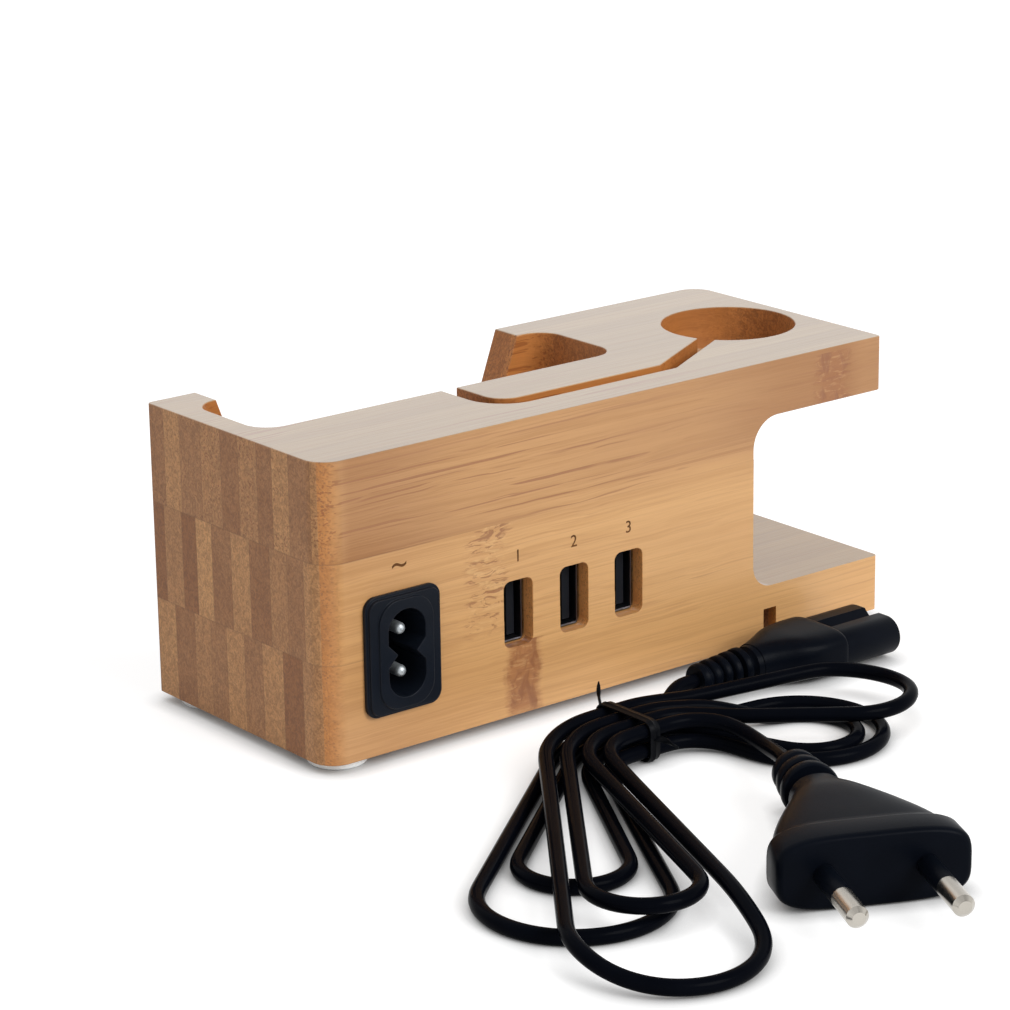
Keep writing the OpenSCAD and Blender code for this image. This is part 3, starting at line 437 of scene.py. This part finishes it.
def makeGrained(name, colour, rough, metallic=0.0, grain=3000.0, swing=0.12, relief=0.08, vary=0.12, ior=1.5,
                sheen=None):
    made, tree, shader, place = newMaterial(name)
    field = useGroup(tree, grainGroup, {
        "Vector": place, "Grain per metre": grain, "Roughness": rough, "Swing": swing})
    low = tuple(c * (1 - vary) for c in colour)
    high = tuple(min(1, c * (1 + vary)) for c in colour)
    tree.links.new(ramp(tree, field["Cloud"], [(0.0, low), (1.0, high)]), shader.inputs["Base Color"])
    tree.links.new(field["Roughness"], shader.inputs["Roughness"])
    bump = addNode(tree, "ShaderNodeBump", {"Height": field["Height"], "Strength": relief, "Distance": 0.0001})
    tree.links.new(bump.outputs[0], shader.inputs["Normal"])
    shader.inputs["Metallic"].default_value = metallic
    shader.inputs["IOR"].default_value = ior
    if sheen:
        shader.inputs["Subsurface Weight"].default_value = sheen
        shader.inputs["Subsurface Radius"].default_value = (0.002, 0.002, 0.002)
    return made


finishes = {
    "bamboo": makeBamboo(),
    "inletPlastic": makeGrained("inletPlastic", (0.006, 0.0085, 0.014), 0.34, relief=0.1, ior=1.22),
    "tonguePlastic": makeGrained("tonguePlastic", (0.010, 0.012, 0.016), 0.4, ior=1.2),
    "cordPlastic": makeGrained("cordPlastic", (0.003, 0.0042, 0.0075), 0.33, grain=2400.0, relief=0.12, ior=1.1),
    "sheath": makeGrained("cordSheath", (0.0022, 0.0028, 0.005), 0.22, grain=1200.0, relief=0.05, ior=1.06),
    "tieFilm": makeGrained("tieFilm", (0.003, 0.0035, 0.005), 0.4, ior=1.14),
    "pinMetal": makeGrained("pinMetal", (0.50, 0.47, 0.42), 0.24, 1.0, 5000.0, 0.08, 0.03, 0.04),
    "inletMetal": makeGrained("inletMetal", (0.5, 0.54, 0.56), 0.42, 0.75, 5000.0, 0.08, 0.03, 0.04),
    "shellMetal": makeGrained("shellMetal", (0.17, 0.18, 0.21), 0.35, 1.0, 4000.0, 0.1, 0.05),
    "screwMetal": makeGrained("screwMetal", (0.62, 0.62, 0.6), 0.28, 1.0, 4000.0, 0.1, 0.05),
    "contactMetal": makeGrained("contactMetal", (0.83, 0.62, 0.28), 0.22, 1.0, 4000.0, 0.1, 0.03),
    "silicone": makeGrained("silicone", (0.94, 0.97, 0.97), 0.38, grain=1500.0, vary=0.03, sheen=0.25),
    "board": makeGrained("circuitBoard", (0.05, 0.2, 0.085), 0.32, grain=1800.0, vary=0.25),
    "ferrite": makeGrained("ferrite", (0.055, 0.055, 0.06), 0.62, relief=0.3),
    "tape": makeGrained("windingTape", (0.70, 0.47, 0.07), 0.35, vary=0.08),
    "sleeve": makeGrained("capacitorSleeve", (0.015, 0.035, 0.14), 0.3),
    "ceramic": makeGrained("fuseCeramic", (0.74, 0.68, 0.54), 0.4, vary=0.06),
    "leadCover": makeGrained("leadCover", (0.2, 0.07, 0.035), 0.4),
    "burn": makeGrained("burntMark", (0.13, 0.055, 0.02), 0.6, grain=2500.0, vary=0.35, ior=1.2),
}
print("materials made")


# Mesh helpers
def newPiece(name, finish, points, faces, body="root"):
    data = bpy.data.meshes.new(name)
    data.from_pydata([tuple(p) for p in points], [], faces)
    data.validate()
    made = bpy.data.objects.new(name, data)
    scene.collection.objects.link(made)
    data.materials.append(finishes[finish])
    return made


def smoothOver(piece, angle=35):
    for face in piece.data.polygons:
        face.use_smooth = True
    piece.data.set_sharp_from_angle(angle=math.radians(angle))


def settle(piece, slot, *replaced):
    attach(piece, "root")
    if replaced:
        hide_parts(*replaced)
    return piece


def ringFaces(rings, sides, capped=True):
    faces = [(i * sides + k, i * sides + (k + 1) % sides, (i + 1) * sides + (k + 1) % sides, (i + 1) * sides + k)
             for i in range(rings - 1) for k in range(sides)]
    if capped:
        faces.append(tuple(range(sides - 1, -1, -1)))
        faces.append(tuple((rings - 1) * sides + k for k in range(sides)))
    return faces


# Cord: loops leave the tie round a shoulder, run straight to their far end and come back
hank = {
    "tie": (-20, -54),
    "waistHalf": 5,
    "shoulder": 16,
    "pitch": 4,
    "diameter": 3,
    "lift": 0.9,
    # side, far end from the tie, its radius, first and last slot, first and last layer
    "loops": [
        (-1, (-54, -49), 17, 1.5, -1.5, 0, 0), (1, (31, -16), 15.5, -1.5, 0.5, 0, 0),
        (-1, (-45, -38), 10, 0.5, -0.5, 0, 0), (1, (31, -17), 10, -0.5, 0.5, 0, 1),
        (-1, (-47, -59), 10, 0.5, -0.5, 1, 1), (1, (45, -13), 13, -0.5, 1.5, 1, 1),
        (-1, (-56, -75), 16.5, 1.5, -1.5, 1, 1),
    ],
    "samples": 96,
}
leads = {
    "connector": [(-15, -48, 2.4), (-11, -47.9, 2.4), (-7, -47.2, 2.4), (-3, -45.4, 2.9), (0.4, -43.3, 4),
                  (4, -42, 4.75), (8, -42, 4.75)],
    "plug": [(-15, -60, 6.4), (-11.2, -60.8, 6.4), (-7.9, -63, 6.3), (-5.9, -66, 6.1), (-5.3, -70, 5.7),
             (-5.8, -75, 5.3), (-7.2, -80, 5.4), (-9.2, -84.6, 6.1), (-11.6, -89, 6.85), (-14, -94, 6.85)],
    "length": 1.25,
}


def onCircle(centre, radius, turn, heading):
    return centre - turn * radius * np.array((-math.sin(heading), math.cos(heading)))


def runHeading(a, ra, turnA, b, rb, turnB):
    v = b - a
    return math.atan2(v[1], v[0]) - math.asin((turnB * rb - turnA * ra) / math.hypot(*v))


def raisedTo(angle, low):
    return angle + 2 * math.pi * math.ceil((low - angle) / (2 * math.pi))


def loopPoints(loop, samples):
    side, far, radius, first, last = loop[:5]
    turn = -side
    tip = np.array(hank["tie"], float) + far
    centre = np.array(hank["tie"], float) + (side * hank["waistHalf"], -hank["shoulder"])
    r0, r1 = hank["shoulder"] + first * hank["pitch"], hank["shoulder"] + last * hank["pitch"]
    start, stop = (math.pi, 2 * math.pi) if side < 0 else (0, math.pi)
    out = raisedTo(runHeading(centre, r0, turn, tip, radius, 1), math.pi if side < 0 else -2 * math.pi)
    back = raisedTo(runHeading(tip, radius, 1, centre, r1, -turn), out)
    a, b = onCircle(centre, r0, turn, out), onCircle(tip, radius, 1, out)
    c, d = onCircle(tip, radius, 1, back), onCircle(centre, r1, -turn, back)
    s1 = abs(out - start) * r0
    s2 = s1 + math.hypot(*(b - a))
    s3 = s2 + (back - out) * radius
    s4 = s3 + math.hypot(*(d - c))
    s5 = s4 + abs(stop - back) * r1
    points = []
    for i in range(samples + 1):
        s = s5 * i / samples
        if s <= s1:
            points.append(onCircle(centre, r0, turn, start + turn * s / r0))
        elif s <= s2:
            points.append(a + (s - s1) * np.array((math.cos(out), math.sin(out))))
        elif s <= s3:
            points.append(onCircle(tip, radius, 1, out + (s - s2) / radius))
        elif s <= s4:
            points.append(c + (s - s3) * np.array((math.cos(back), math.sin(back))))
        else:
            points.append(onCircle(centre, r1, -turn, back - turn * (s - s4) / r1))
    return np.array(points)


def ease(x):
    t = np.clip(x, 0, 1)
    return t * t * (3 - 2 * t)


def hankPoints():
    flat = [loopPoints(loop, hank["samples"]) for loop in hank["loops"]]
    below = np.concatenate(flat[:4])
    tie, radius = np.array(hank["tie"], float), hank["diameter"] / 2
    outer = 1.5 * hank["pitch"]
    rows = []
    for loop, points in zip(hank["loops"], flat):
        share = np.linspace(0, 1, len(points))
        if loop[5]:
            gap = np.min(np.linalg.norm(points[:, None] - below[None], axis=2), axis=1)
            layer = 1 - ease((gap - 8) / 20)
        else:
            layer = ease((share - 0.7) / 0.18) if loop[6] else 0 * share
        away = np.abs(points - tie)
        lift = hank["lift"] * (1 - ease((away[:, 0] - hank["waistHalf"] - 1) / 16)) * (
            1 - ease((away[:, 1] - outer - 1) / 16))
        rows.append(np.column_stack((points, radius + hank["pitch"] * layer + lift)))
    return np.concatenate(rows)


def throughPoints(route, steps=8):
    p = np.array(route, float)
    p = np.concatenate(([2 * p[0] - p[1]], p, [2 * p[-1] - p[-2]]))
    out = []
    for i in range(1, len(p) - 2):
        for t in np.arange(steps) / steps:
            out.append(0.5 * (2 * p[i] + (p[i + 1] - p[i - 1]) * t
                              + (2 * p[i - 1] - 5 * p[i] + 4 * p[i + 1] - p[i + 2]) * t ** 2
                              + (3 * p[i] - p[i - 1] - 3 * p[i + 1] + p[i + 2]) * t ** 3))
    return np.array(out + [p[-2]])


def evened(points, step):
    run = np.concatenate(([0], np.cumsum(np.linalg.norm(np.diff(points, axis=0), axis=1))))
    at = np.linspace(0, run[-1], int(run[-1] / step) + 1)
    return np.column_stack([np.interp(at, run, points[:, k]) for k in range(3)]), run[-1]


def makeCord():
    route = np.concatenate((throughPoints(leads["connector"])[::-1], hankPoints(), throughPoints(leads["plug"])))
    points, length = evened(route, 1.2)
    for _ in range(3):  # takes the last corners off the joints of arcs and runs
        points[2:-2] = 0.25 * points[1:-3] + 0.5 * points[2:-2] + 0.25 * points[3:-1]
    data = bpy.data.curves.new("mainsCord", "CURVE")
    data.dimensions = "3D"
    data.bevel_depth, data.bevel_resolution, data.use_fill_caps = hank["diameter"] / 2 * mm, 5, True
    line = data.splines.new("POLY")
    line.points.add(len(points) - 1)
    for at, point in zip(line.points, points):
        at.co = (*(point * mm), 1)
    line.use_smooth = True
    made = bpy.data.objects.new("mainsCord", data)
    scene.collection.objects.link(made)
    data.materials.append(finishes["sheath"])
    print("cord laid,", round(length), "mm long")
    return settle(made, "cord_sheath", "cord_connector_lead", "cord_hank", "cord_plug_lead")


mainsCord = makeCord()


# Mouldings on the cord, built along their own axis: Z ahead, X across, Y up
def moulded(name, rows, origin, turn, sides=64):
    turned = Matrix.Translation(Vector(origin) * mm) @ Matrix.Rotation(math.radians(turn), 4, "Z")
    points = []
    for ahead, width, height, corner in rows:
        for k in range(sides):
            a = 2 * math.pi * (k + 0.5) / sides
            c, s = math.cos(a), math.sin(a)
            x = 0.5 * width * math.copysign(abs(c) ** corner, c)
            y = 0.5 * height * math.copysign(abs(s) ** corner, s)
            points.append(turned @ Vector((ahead * mm, x * mm, y * mm)))
    return points, ringFaces(len(rows), sides)


def eased(stops, count):
    # Smooth rows between stops of (ahead, width, height, corner)
    p = np.array(stops, float)
    at = np.linspace(p[0, 0], p[-1, 0], count)
    slope = np.gradient(p, p[:, 0], axis=0)
    rows = []
    for a in at:
        i = min(max(np.searchsorted(p[:, 0], a, "right") - 1, 0), len(p) - 2)
        h = p[i + 1, 0] - p[i, 0]
        t = (a - p[i, 0]) / h
        row = ((2 * t ** 3 - 3 * t ** 2 + 1) * p[i] + (t ** 3 - 2 * t ** 2 + t) * h * slope[i]
               + (3 * t ** 2 - 2 * t ** 3) * p[i + 1] + (t ** 3 - t ** 2) * h * slope[i + 1])
        row[0] = a
        rows.append(tuple(row))
    return rows


plug = {
    "origin": (-14, -94, 6.85),
    "turn": -116,
    "relief": 14,
    "shape": [(14, 10.6, 9.6, 0.9), (17, 11.6, 10.6, 0.85), (21, 15.2, 12.2, 0.75), (26, 20.5, 13.0, 0.66),
              (31, 25.8, 13.2, 0.6), (36, 30.2, 13.2, 0.56), (40, 32.6, 13.0, 0.54)],
    "rim": [(40.2, 33.6, 13.1, 0.52), (40.5, 34.6, 13.5, 0.5), (41.1, 35.2, 13.7, 0.5), (46.6, 35.3, 13.7, 0.5),
            (47.4, 34.9, 13.4, 0.5), (47.85, 34.0, 12.8, 0.5), (48, 32.8, 12.0, 0.5), (48, 20, 5, 0.7)],
}


def makePlug():
    body, faces = moulded("plugBody", eased(plug["shape"], 24) + plug["rim"], plug["origin"], plug["turn"])
    made = newPiece("plugBody", "cordPlastic", body, faces)
    smoothOver(made, 40)
    settle(made, "cord_set_plastic", "plug_body")
    rows = [(0, 6.8, 6.8, 1), (0, 7.6, 7.6, 1)]
    for i, start in enumerate((0, 4.2, 8.4)):
        wide = 8.8 + i
        rows += [(start + 0.15, wide - 0.5, wide - 0.5, 1), (start + 0.5, wide, wide, 1),
                 (start + 2.4, wide + 0.2, wide + 0.2, 1), (start + 2.8, wide - 0.4, wide - 0.4, 1),
                 (start + 2.95, 7.4, 7.4, 1), (start + 4.0, 7.4, 7.4, 1)]
    rows += [(13, 7.6, 7.6, 1), (14, 9.6, 9.2, 0.95)]
    ribs, faces = moulded("plugRelief", rows, plug["origin"], plug["turn"])
    relief = newPiece("plugRelief", "cordPlastic", ribs, faces)
    smoothOver(relief, 40)
    settle(relief, "cord_set_plastic", "plug_relief")
    return [made, relief]


connector = {
    "origin": (8, -42, 4.75),
    "relief": 15,
    "shape": [(15, 8.6, 8.2, 0.9), (17, 9.8, 8.6, 0.82), (20, 12.2, 9.1, 0.7), (23.5, 15.4, 9.5, 0.6),
              (27, 17.2, 9.5, 0.55), (31, 17.6, 9.5, 0.52), (33.2, 17.6, 9.5, 0.52)],
    "step": [(33.7, 17.4, 9.3, 0.52), (33.98, 16.9, 8.8, 0.54), (34.0, 15.6, 6.8, 0.6)],
    "pinGap": 8.6,
    "nose": 15,
    "lobe": 4.0,
    "lobeAt": 4.45,
    "waist": 1.825,
    "hole": 1.6,
}


def noseOutline(shrink=0.0):
    # Two round lobes side by side, pinched between them
    c, points = connector, []
    r = c["lobe"] - shrink
    for side in (1, -1):
        for k in range(17):
            a = math.radians(-90 + 180 * k / 16) if side > 0 else math.radians(90 + 180 * k / 16)
            points.append((side * c["lobeAt"] + r * math.cos(a), r * math.sin(a)))
        pinch = [(side * c["lobeAt"] / 2, side * r), (0, side * (c["waist"] - shrink)), (-side * c["lobeAt"] / 2, side * r)]
        points += pinch
    return points


def makeConnector():
    c = connector
    body, faces = moulded("connectorBody", eased(c["shape"], 22) + c["step"], c["origin"], 0)
    made = newPiece("connectorBody", "cordPlastic", body, faces)
    smoothOver(made, 40)
    settle(made, "cord_set_plastic", "connector_body")
    origin = Vector(c["origin"])
    front = c["relief"] + 19
    rows = [(front - 1, 0.0), (front + c["nose"] - 0.5, 0.0), (front + c["nose"] - 0.15, 0.15), (front + c["nose"], 0.5)]
    points = [(origin + Vector((ahead, x, y))) * mm for ahead, shrink in rows for x, y in noseOutline(shrink)]
    sides = len(noseOutline())
    faces = ringFaces(len(rows), sides, capped=False)
    faces.append(tuple(range(sides - 1, -1, -1)))
    # The front face is left open for the two holes, then filled round them
    holes = []
    for side in (-1, 1):
        start = len(points)
        for depth in (0, 11):
            for k in range(24):
                a = 2 * math.pi * k / 24
                points.append((origin + Vector((
                    front + c["nose"] - depth, side * c["pinGap"] / 2 + c["hole"] * math.cos(a), c["hole"] * math.sin(a)))) * mm)
        faces += [(start + k, start + 24 + k, start + 24 + (k + 1) % 24, start + (k + 1) % 24) for k in range(24)]
        faces.append(tuple(start + 24 + k for k in range(24)))
        holes.append(start)
    nose = newPiece("connectorNose", "cordPlastic", points, faces)
    mesh = bmesh.new()
    mesh.from_mesh(nose.data)
    mesh.verts.ensure_lookup_table()
    rim = [mesh.verts[(len(rows) - 1) * sides + k] for k in range(sides)]
    loops = [rim] + [[mesh.verts[start + k] for k in range(24)] for start in holes]
    edges = []
    for loop in loops:
        for a, b in zip(loop, loop[1:] + loop[:1]):
            edges.append(mesh.edges.get((a, b)) or mesh.edges.new((a, b)))
    bmesh.ops.triangle_fill(mesh, edges=edges, use_beauty=True, use_dissolve=False)
    bmesh.ops.recalc_face_normals(mesh, faces=mesh.faces)
    mesh.to_mesh(nose.data)
    mesh.free()
    smoothOver(nose, 30)
    settle(nose, "cord_set_plastic")
    rows = [(0, 5.2, 5.2, 1), (0, 6.0, 6.0, 1)]
    for i in range(5):
        start, wide = 0.1 + i * 2.6, 6.6 + 0.42 * i
        rows += [(start + 0.1, wide - 0.4, wide - 0.4, 1), (start + 0.35, wide, wide, 1), (start + 1.35, wide + 0.1, wide + 0.1, 1),
                 (start + 1.65, wide - 0.4, wide - 0.4, 1), (start + 1.7, 5.6, 5.6, 1), (start + 2.5, 5.6, 5.6, 1)]
    rows += [(13.4, 6.2, 6.2, 1), (13.8, 8.0, 7.8, 1), (15.0, 8.4, 8.0, 0.95)]
    ribs, faces = moulded("connectorRelief", rows, c["origin"], 0)
    relief = newPiece("connectorRelief", "cordPlastic", ribs, faces)
    smoothOver(relief, 40)
    settle(relief, "cord_set_plastic", "connector_relief")
    return [made, nose, relief]


plugPieces = makePlug()
connectorPieces = makeConnector()
print("plug and connector moulded")


# Wire tie: a flat film with a wire in its middle, round the bundle, its ends twisted together
tie = {"width": 2.4, "film": 0.14, "wire": 0.37, "across": 15.3, "high": 7.3, "corner": 1.65, "tail": 5.6,
       "tailWidth": 0.62}


def makeTie():
    t, place = tie, Vector((*hank["tie"], 0))
    half, film, wire = t["width"] / 2, t["film"], t["wire"]
    profile = [(-half, -film), (-0.5, -film), (0, -wire), (0.5, -film), (half, -film), (half, film), (0.5, film),
               (0, wire), (-0.5, film), (-half, film)]
    middle = []
    a, b, r = t["across"] / 2 + wire, t["high"] / 2 + wire, t["corner"] + wire
    for corner, (cy, cz) in enumerate(((1, 1), (-1, 1), (-1, -1), (1, -1))):
        for k in range(7):
            angle = math.radians(90 * corner + 15 * k)
            out = Vector((0, math.cos(angle), math.sin(angle)))
            middle.append((Vector((0, cy * (a - r), cz * (b - r))) + r * out, out))
    points = [(place + Vector((0, 0, b + wire + 0.01)) + at + out * h + Vector((w, 0, 0))) * mm
              for at, out in middle for w, h in profile]
    n, m = len(middle), len(profile)
    faces = [(i * m + k, i * m + (k + 1) % m, (i + 1) % n * m + (k + 1) % m, (i + 1) % n * m + k)
             for i in range(n) for k in range(m)]
    # A tail on each side, twisted about its own length and standing off the bundle
    rows = 22
    for side in (1, -1):
        start = len(points)
        lean = math.radians(26 if side > 0 else 52)
        along = Vector((0.22, side * math.sin(lean), math.cos(lean) if side > 0 else -0.12)).normalized()
        across = along.cross(Vector((1, 0, 0))).normalized()
        flat = across.cross(along).normalized()
        base = place + Vector((0, side * (a - 0.4), 2 * b - 1.4 if side > 0 else b + 1.2))
        for i in range(rows):
            s = i / (rows - 1)
            spin = 2.6 * s
            wide = math.cos(spin) * flat + math.sin(spin) * across
            thick = math.cos(spin) * across - math.sin(spin) * flat
            wave = 0.5 * math.sin(math.pi * s) * across
            slim = t["tailWidth"] * (1 - 0.8 * s ** 3)
            for w, h in ((-1, -0.12), (0, -0.3), (1, -0.12), (1, 0.12), (0, 0.3), (-1, 0.12)):
                points.append((base + along * t["tail"] * s + wave + wide * w * slim + thick * h) * mm)
        faces += [tuple(start + v for v in face) for face in ringFaces(rows, 6)]
    made = newPiece("wireTie", "tieFilm", points, faces)
    smoothOver(made, 40)
    return settle(made, "tie_sheath", "cord_tie")


wireTie = makeTie()

# Wood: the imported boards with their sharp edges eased
wood = {"round": 0.55, "segments": 3, "seams": (22, 42)}


def easedBoard(name, node, slot, width=None):
    data = nodes[node].data.copy()
    mesh = bmesh.new()
    mesh.from_mesh(data)
    bmesh.ops.remove_doubles(mesh, verts=mesh.verts, dist=1e-6)
    bmesh.ops.dissolve_limit(mesh, angle_limit=math.radians(0.6), verts=mesh.verts, edges=mesh.edges)
    chosen = []
    for edge in mesh.edges:
        if len(edge.link_faces) != 2 or edge.calc_face_angle(0) < math.radians(35):
            continue
        heights = [v.co.z / mm for v in edge.verts]
        if any(abs(heights[0] - s) < 0.02 and abs(heights[1] - s) < 0.02 for s in wood["seams"]):
            continue
        chosen.append(edge)
    bmesh.ops.bevel(mesh, geom=chosen, offset=(width or wood["round"]) * mm, segments=wood["segments"], profile=0.6,
                    affect="EDGES", clamp_overlap=True)
    data.clear_geometry()
    mesh.to_mesh(data)
    mesh.free()
    made = bpy.data.objects.new(name, data)
    scene.collection.objects.link(made)
    data.materials.clear()
    data.materials.append(finishes["bamboo"])
    smoothOver(made, 28)
    made.modifiers.new("evenNormals", "WEIGHTED_NORMAL").keep_sharp = True
    return settle(made, slot, node)


easedBoard("baseBoardWood", "base_board", "bamboo_base")
easedBoard("middleBoardWood", "middle_board", "bamboo_middle")
easedBoard("topBoardWood", "top_board", "bamboo_top")
easedBoard("bottomCoverWood", "bottom_cover", "bamboo_base", 0.3)
print("boards eased")

# Plain burnt marks: a number over each port and a wave over the inlet; middle and height in millimetres
marks = {"ports": [-25.6, -11.5, 2.6], "portHeight": 34.6, "inlet": -54.3, "inletHeight": 39.2, "size": 3.5,
         "stroke": 0.02, "rear": -27.95}


def makeMark(name, sign, x, z, size):
    data = bpy.data.curves.new(name, "FONT")
    data.body, data.size, data.align_x, data.align_y = sign, size * mm, "CENTER", "CENTER"
    data.extrude = marks["stroke"] * mm
    data.offset = 0.015 * mm
    made = bpy.data.objects.new(name, data)
    scene.collection.objects.link(made)
    made.location = Vector((x, marks["rear"], z)) * mm
    made.rotation_euler = (math.radians(90), 0, 0)
    data.materials.append(finishes["burn"])
    return settle(made, "bamboo_top")


for count, x in enumerate(marks["ports"], 1):
    makeMark(f"portNumber{count}", str(count), x, marks["portHeight"], marks["size"])
makeMark("inletWave", "~", marks["inlet"], marks["inletHeight"], marks["size"] * 1.8)
print("marks burnt in")

nodeFinishes = {
    "cover_screws": "screwMetal", "feet": "silicone", "inlet_housing": "inletPlastic", "inlet_pins": "inletMetal",
    "inlet_leads": "leadCover", "mains_board": "board", "transformer_core": "ferrite",
    "transformer_winding": "tape", "input_capacitor": "sleeve", "output_capacitors": "sleeve",
    "rectifier": "inletPlastic", "fuse": "ceramic", "usb_board": "board", "usb_shell_left": "shellMetal",
    "usb_shell_middle": "shellMetal", "usb_shell_right": "shellMetal", "usb_tongues": "tonguePlastic",
    "usb_contacts": "contactMetal", "connector_sockets": "contactMetal", "plug_sleeves": "cordPlastic",
    "plug_pins": "pinMetal",
}
for name, finish in nodeFinishes.items():
    slots = nodes[name].material_slots
    for place in slots:
        place.material = finishes[finish]


def easeNode(name, width):
    piece = nodes[name]
    piece.modifiers.new("weld", "WELD").merge_threshold = 1e-6
    flat = piece.modifiers.new("flat", "DECIMATE")
    flat.decimate_type, flat.angle_limit = "DISSOLVE", math.radians(0.6)
    bevel = piece.modifiers.new("ease", "BEVEL")
    bevel.width, bevel.segments, bevel.limit_method = width * mm, 2, "ANGLE"
    bevel.angle_limit = math.radians(40)
    bevel.use_clamp_overlap = True
    piece.modifiers.new("evenNormals", "WEIGHTED_NORMAL").keep_sharp = True


easeNode("inlet_housing", 0.2)
print("nodes finished")


# Studio
studio = {
    "world": 0.42,
    "ceiling": 0.45,
    "floor": 0.80,
    "floorSeen": 0.45,
    "floorGlow": 0.72,
    "contact": 0.005,
    # direction the light comes from (azimuth, elevation), strength, softness in degrees
    "suns": [(-74, 35, 2.0, 32), (-150, 60, 0.2, 60), (100, 55, 0.45, 60)],
}


def seenDirectly(tree):
    path = addNode(tree, "ShaderNodeLightPath").outputs
    seen = sums(tree, "MAXIMUM", path["Is Camera Ray"], path["Is Glossy Ray"])
    return sums(tree, "MAXIMUM", seen, path["Is Transmission Ray"])


def makeStudio(s):
    world = bpy.data.worlds.new("paleStudio")
    scene.world = world
    world.use_nodes = True
    tree = world.node_tree
    back = tree.nodes["Background"]
    back.inputs["Color"].default_value = (1, 1, 1, 1)
    sky = addNode(tree, "ShaderNodeSeparateXYZ", {0: addNode(tree, "ShaderNodeTexCoord").outputs["Generated"]}).outputs
    backdrop = spread(tree, sky[2], 0.35, 0.9, 1.0, s["ceiling"])
    tree.links.new(mixed(tree, seenDirectly(tree), s["world"], backdrop), back.inputs["Strength"])
    for at, (azimuth, elevation, power, soft) in enumerate(s["suns"]):
        lamp = bpy.data.lights.new(f"softSun{at}", "SUN")
        lamp.energy, lamp.angle = power, math.radians(soft)
        made = bpy.data.objects.new(lamp.name, lamp)
        scene.collection.objects.link(made)
        a, e = math.radians(azimuth), math.radians(elevation)
        source = Vector((math.cos(a) * math.cos(e), math.sin(a) * math.cos(e), math.sin(e)))
        made.rotation_euler = source.to_track_quat("Z", "Y").to_euler()
    made, tree, shader, place = newMaterial("paleFloor")
    seen = seenDirectly(tree)
    tree.links.new(blend(tree, seen, (s["floor"],) * 3, (s["floorSeen"],) * 3), shader.inputs["Base Color"])
    shader.inputs["Roughness"].default_value = 0.8
    shader.inputs["Emission Color"].default_value = (1, 1, 1, 1)
    # Seen directly, the floor glows white, and the glow fades where ambient occlusion closes it in: a painted contact
    # shadow under and beside the object
    open = addNode(tree, "ShaderNodeAmbientOcclusion", {"Distance": s["contact"]}, samples=8).outputs["AO"]
    glow = sums(tree, "MULTIPLY", sums(tree, "POWER", open, 1.3), s["floorGlow"])
    tree.links.new(sums(tree, "MULTIPLY", glow, seen), shader.inputs["Emission Strength"])
    data = bpy.data.meshes.new("floor")
    data.from_pydata([(-6, -6, 0), (6, -6, 0), (6, 6, 0), (-6, 6, 0)], [], [(0, 1, 2, 3)])
    data.materials.append(made)
    floor = bpy.data.objects.new("floor", data)
    scene.collection.objects.link(floor)
    scene.view_settings.view_transform = "Standard"


makeStudio(studio)
print("studio lit")
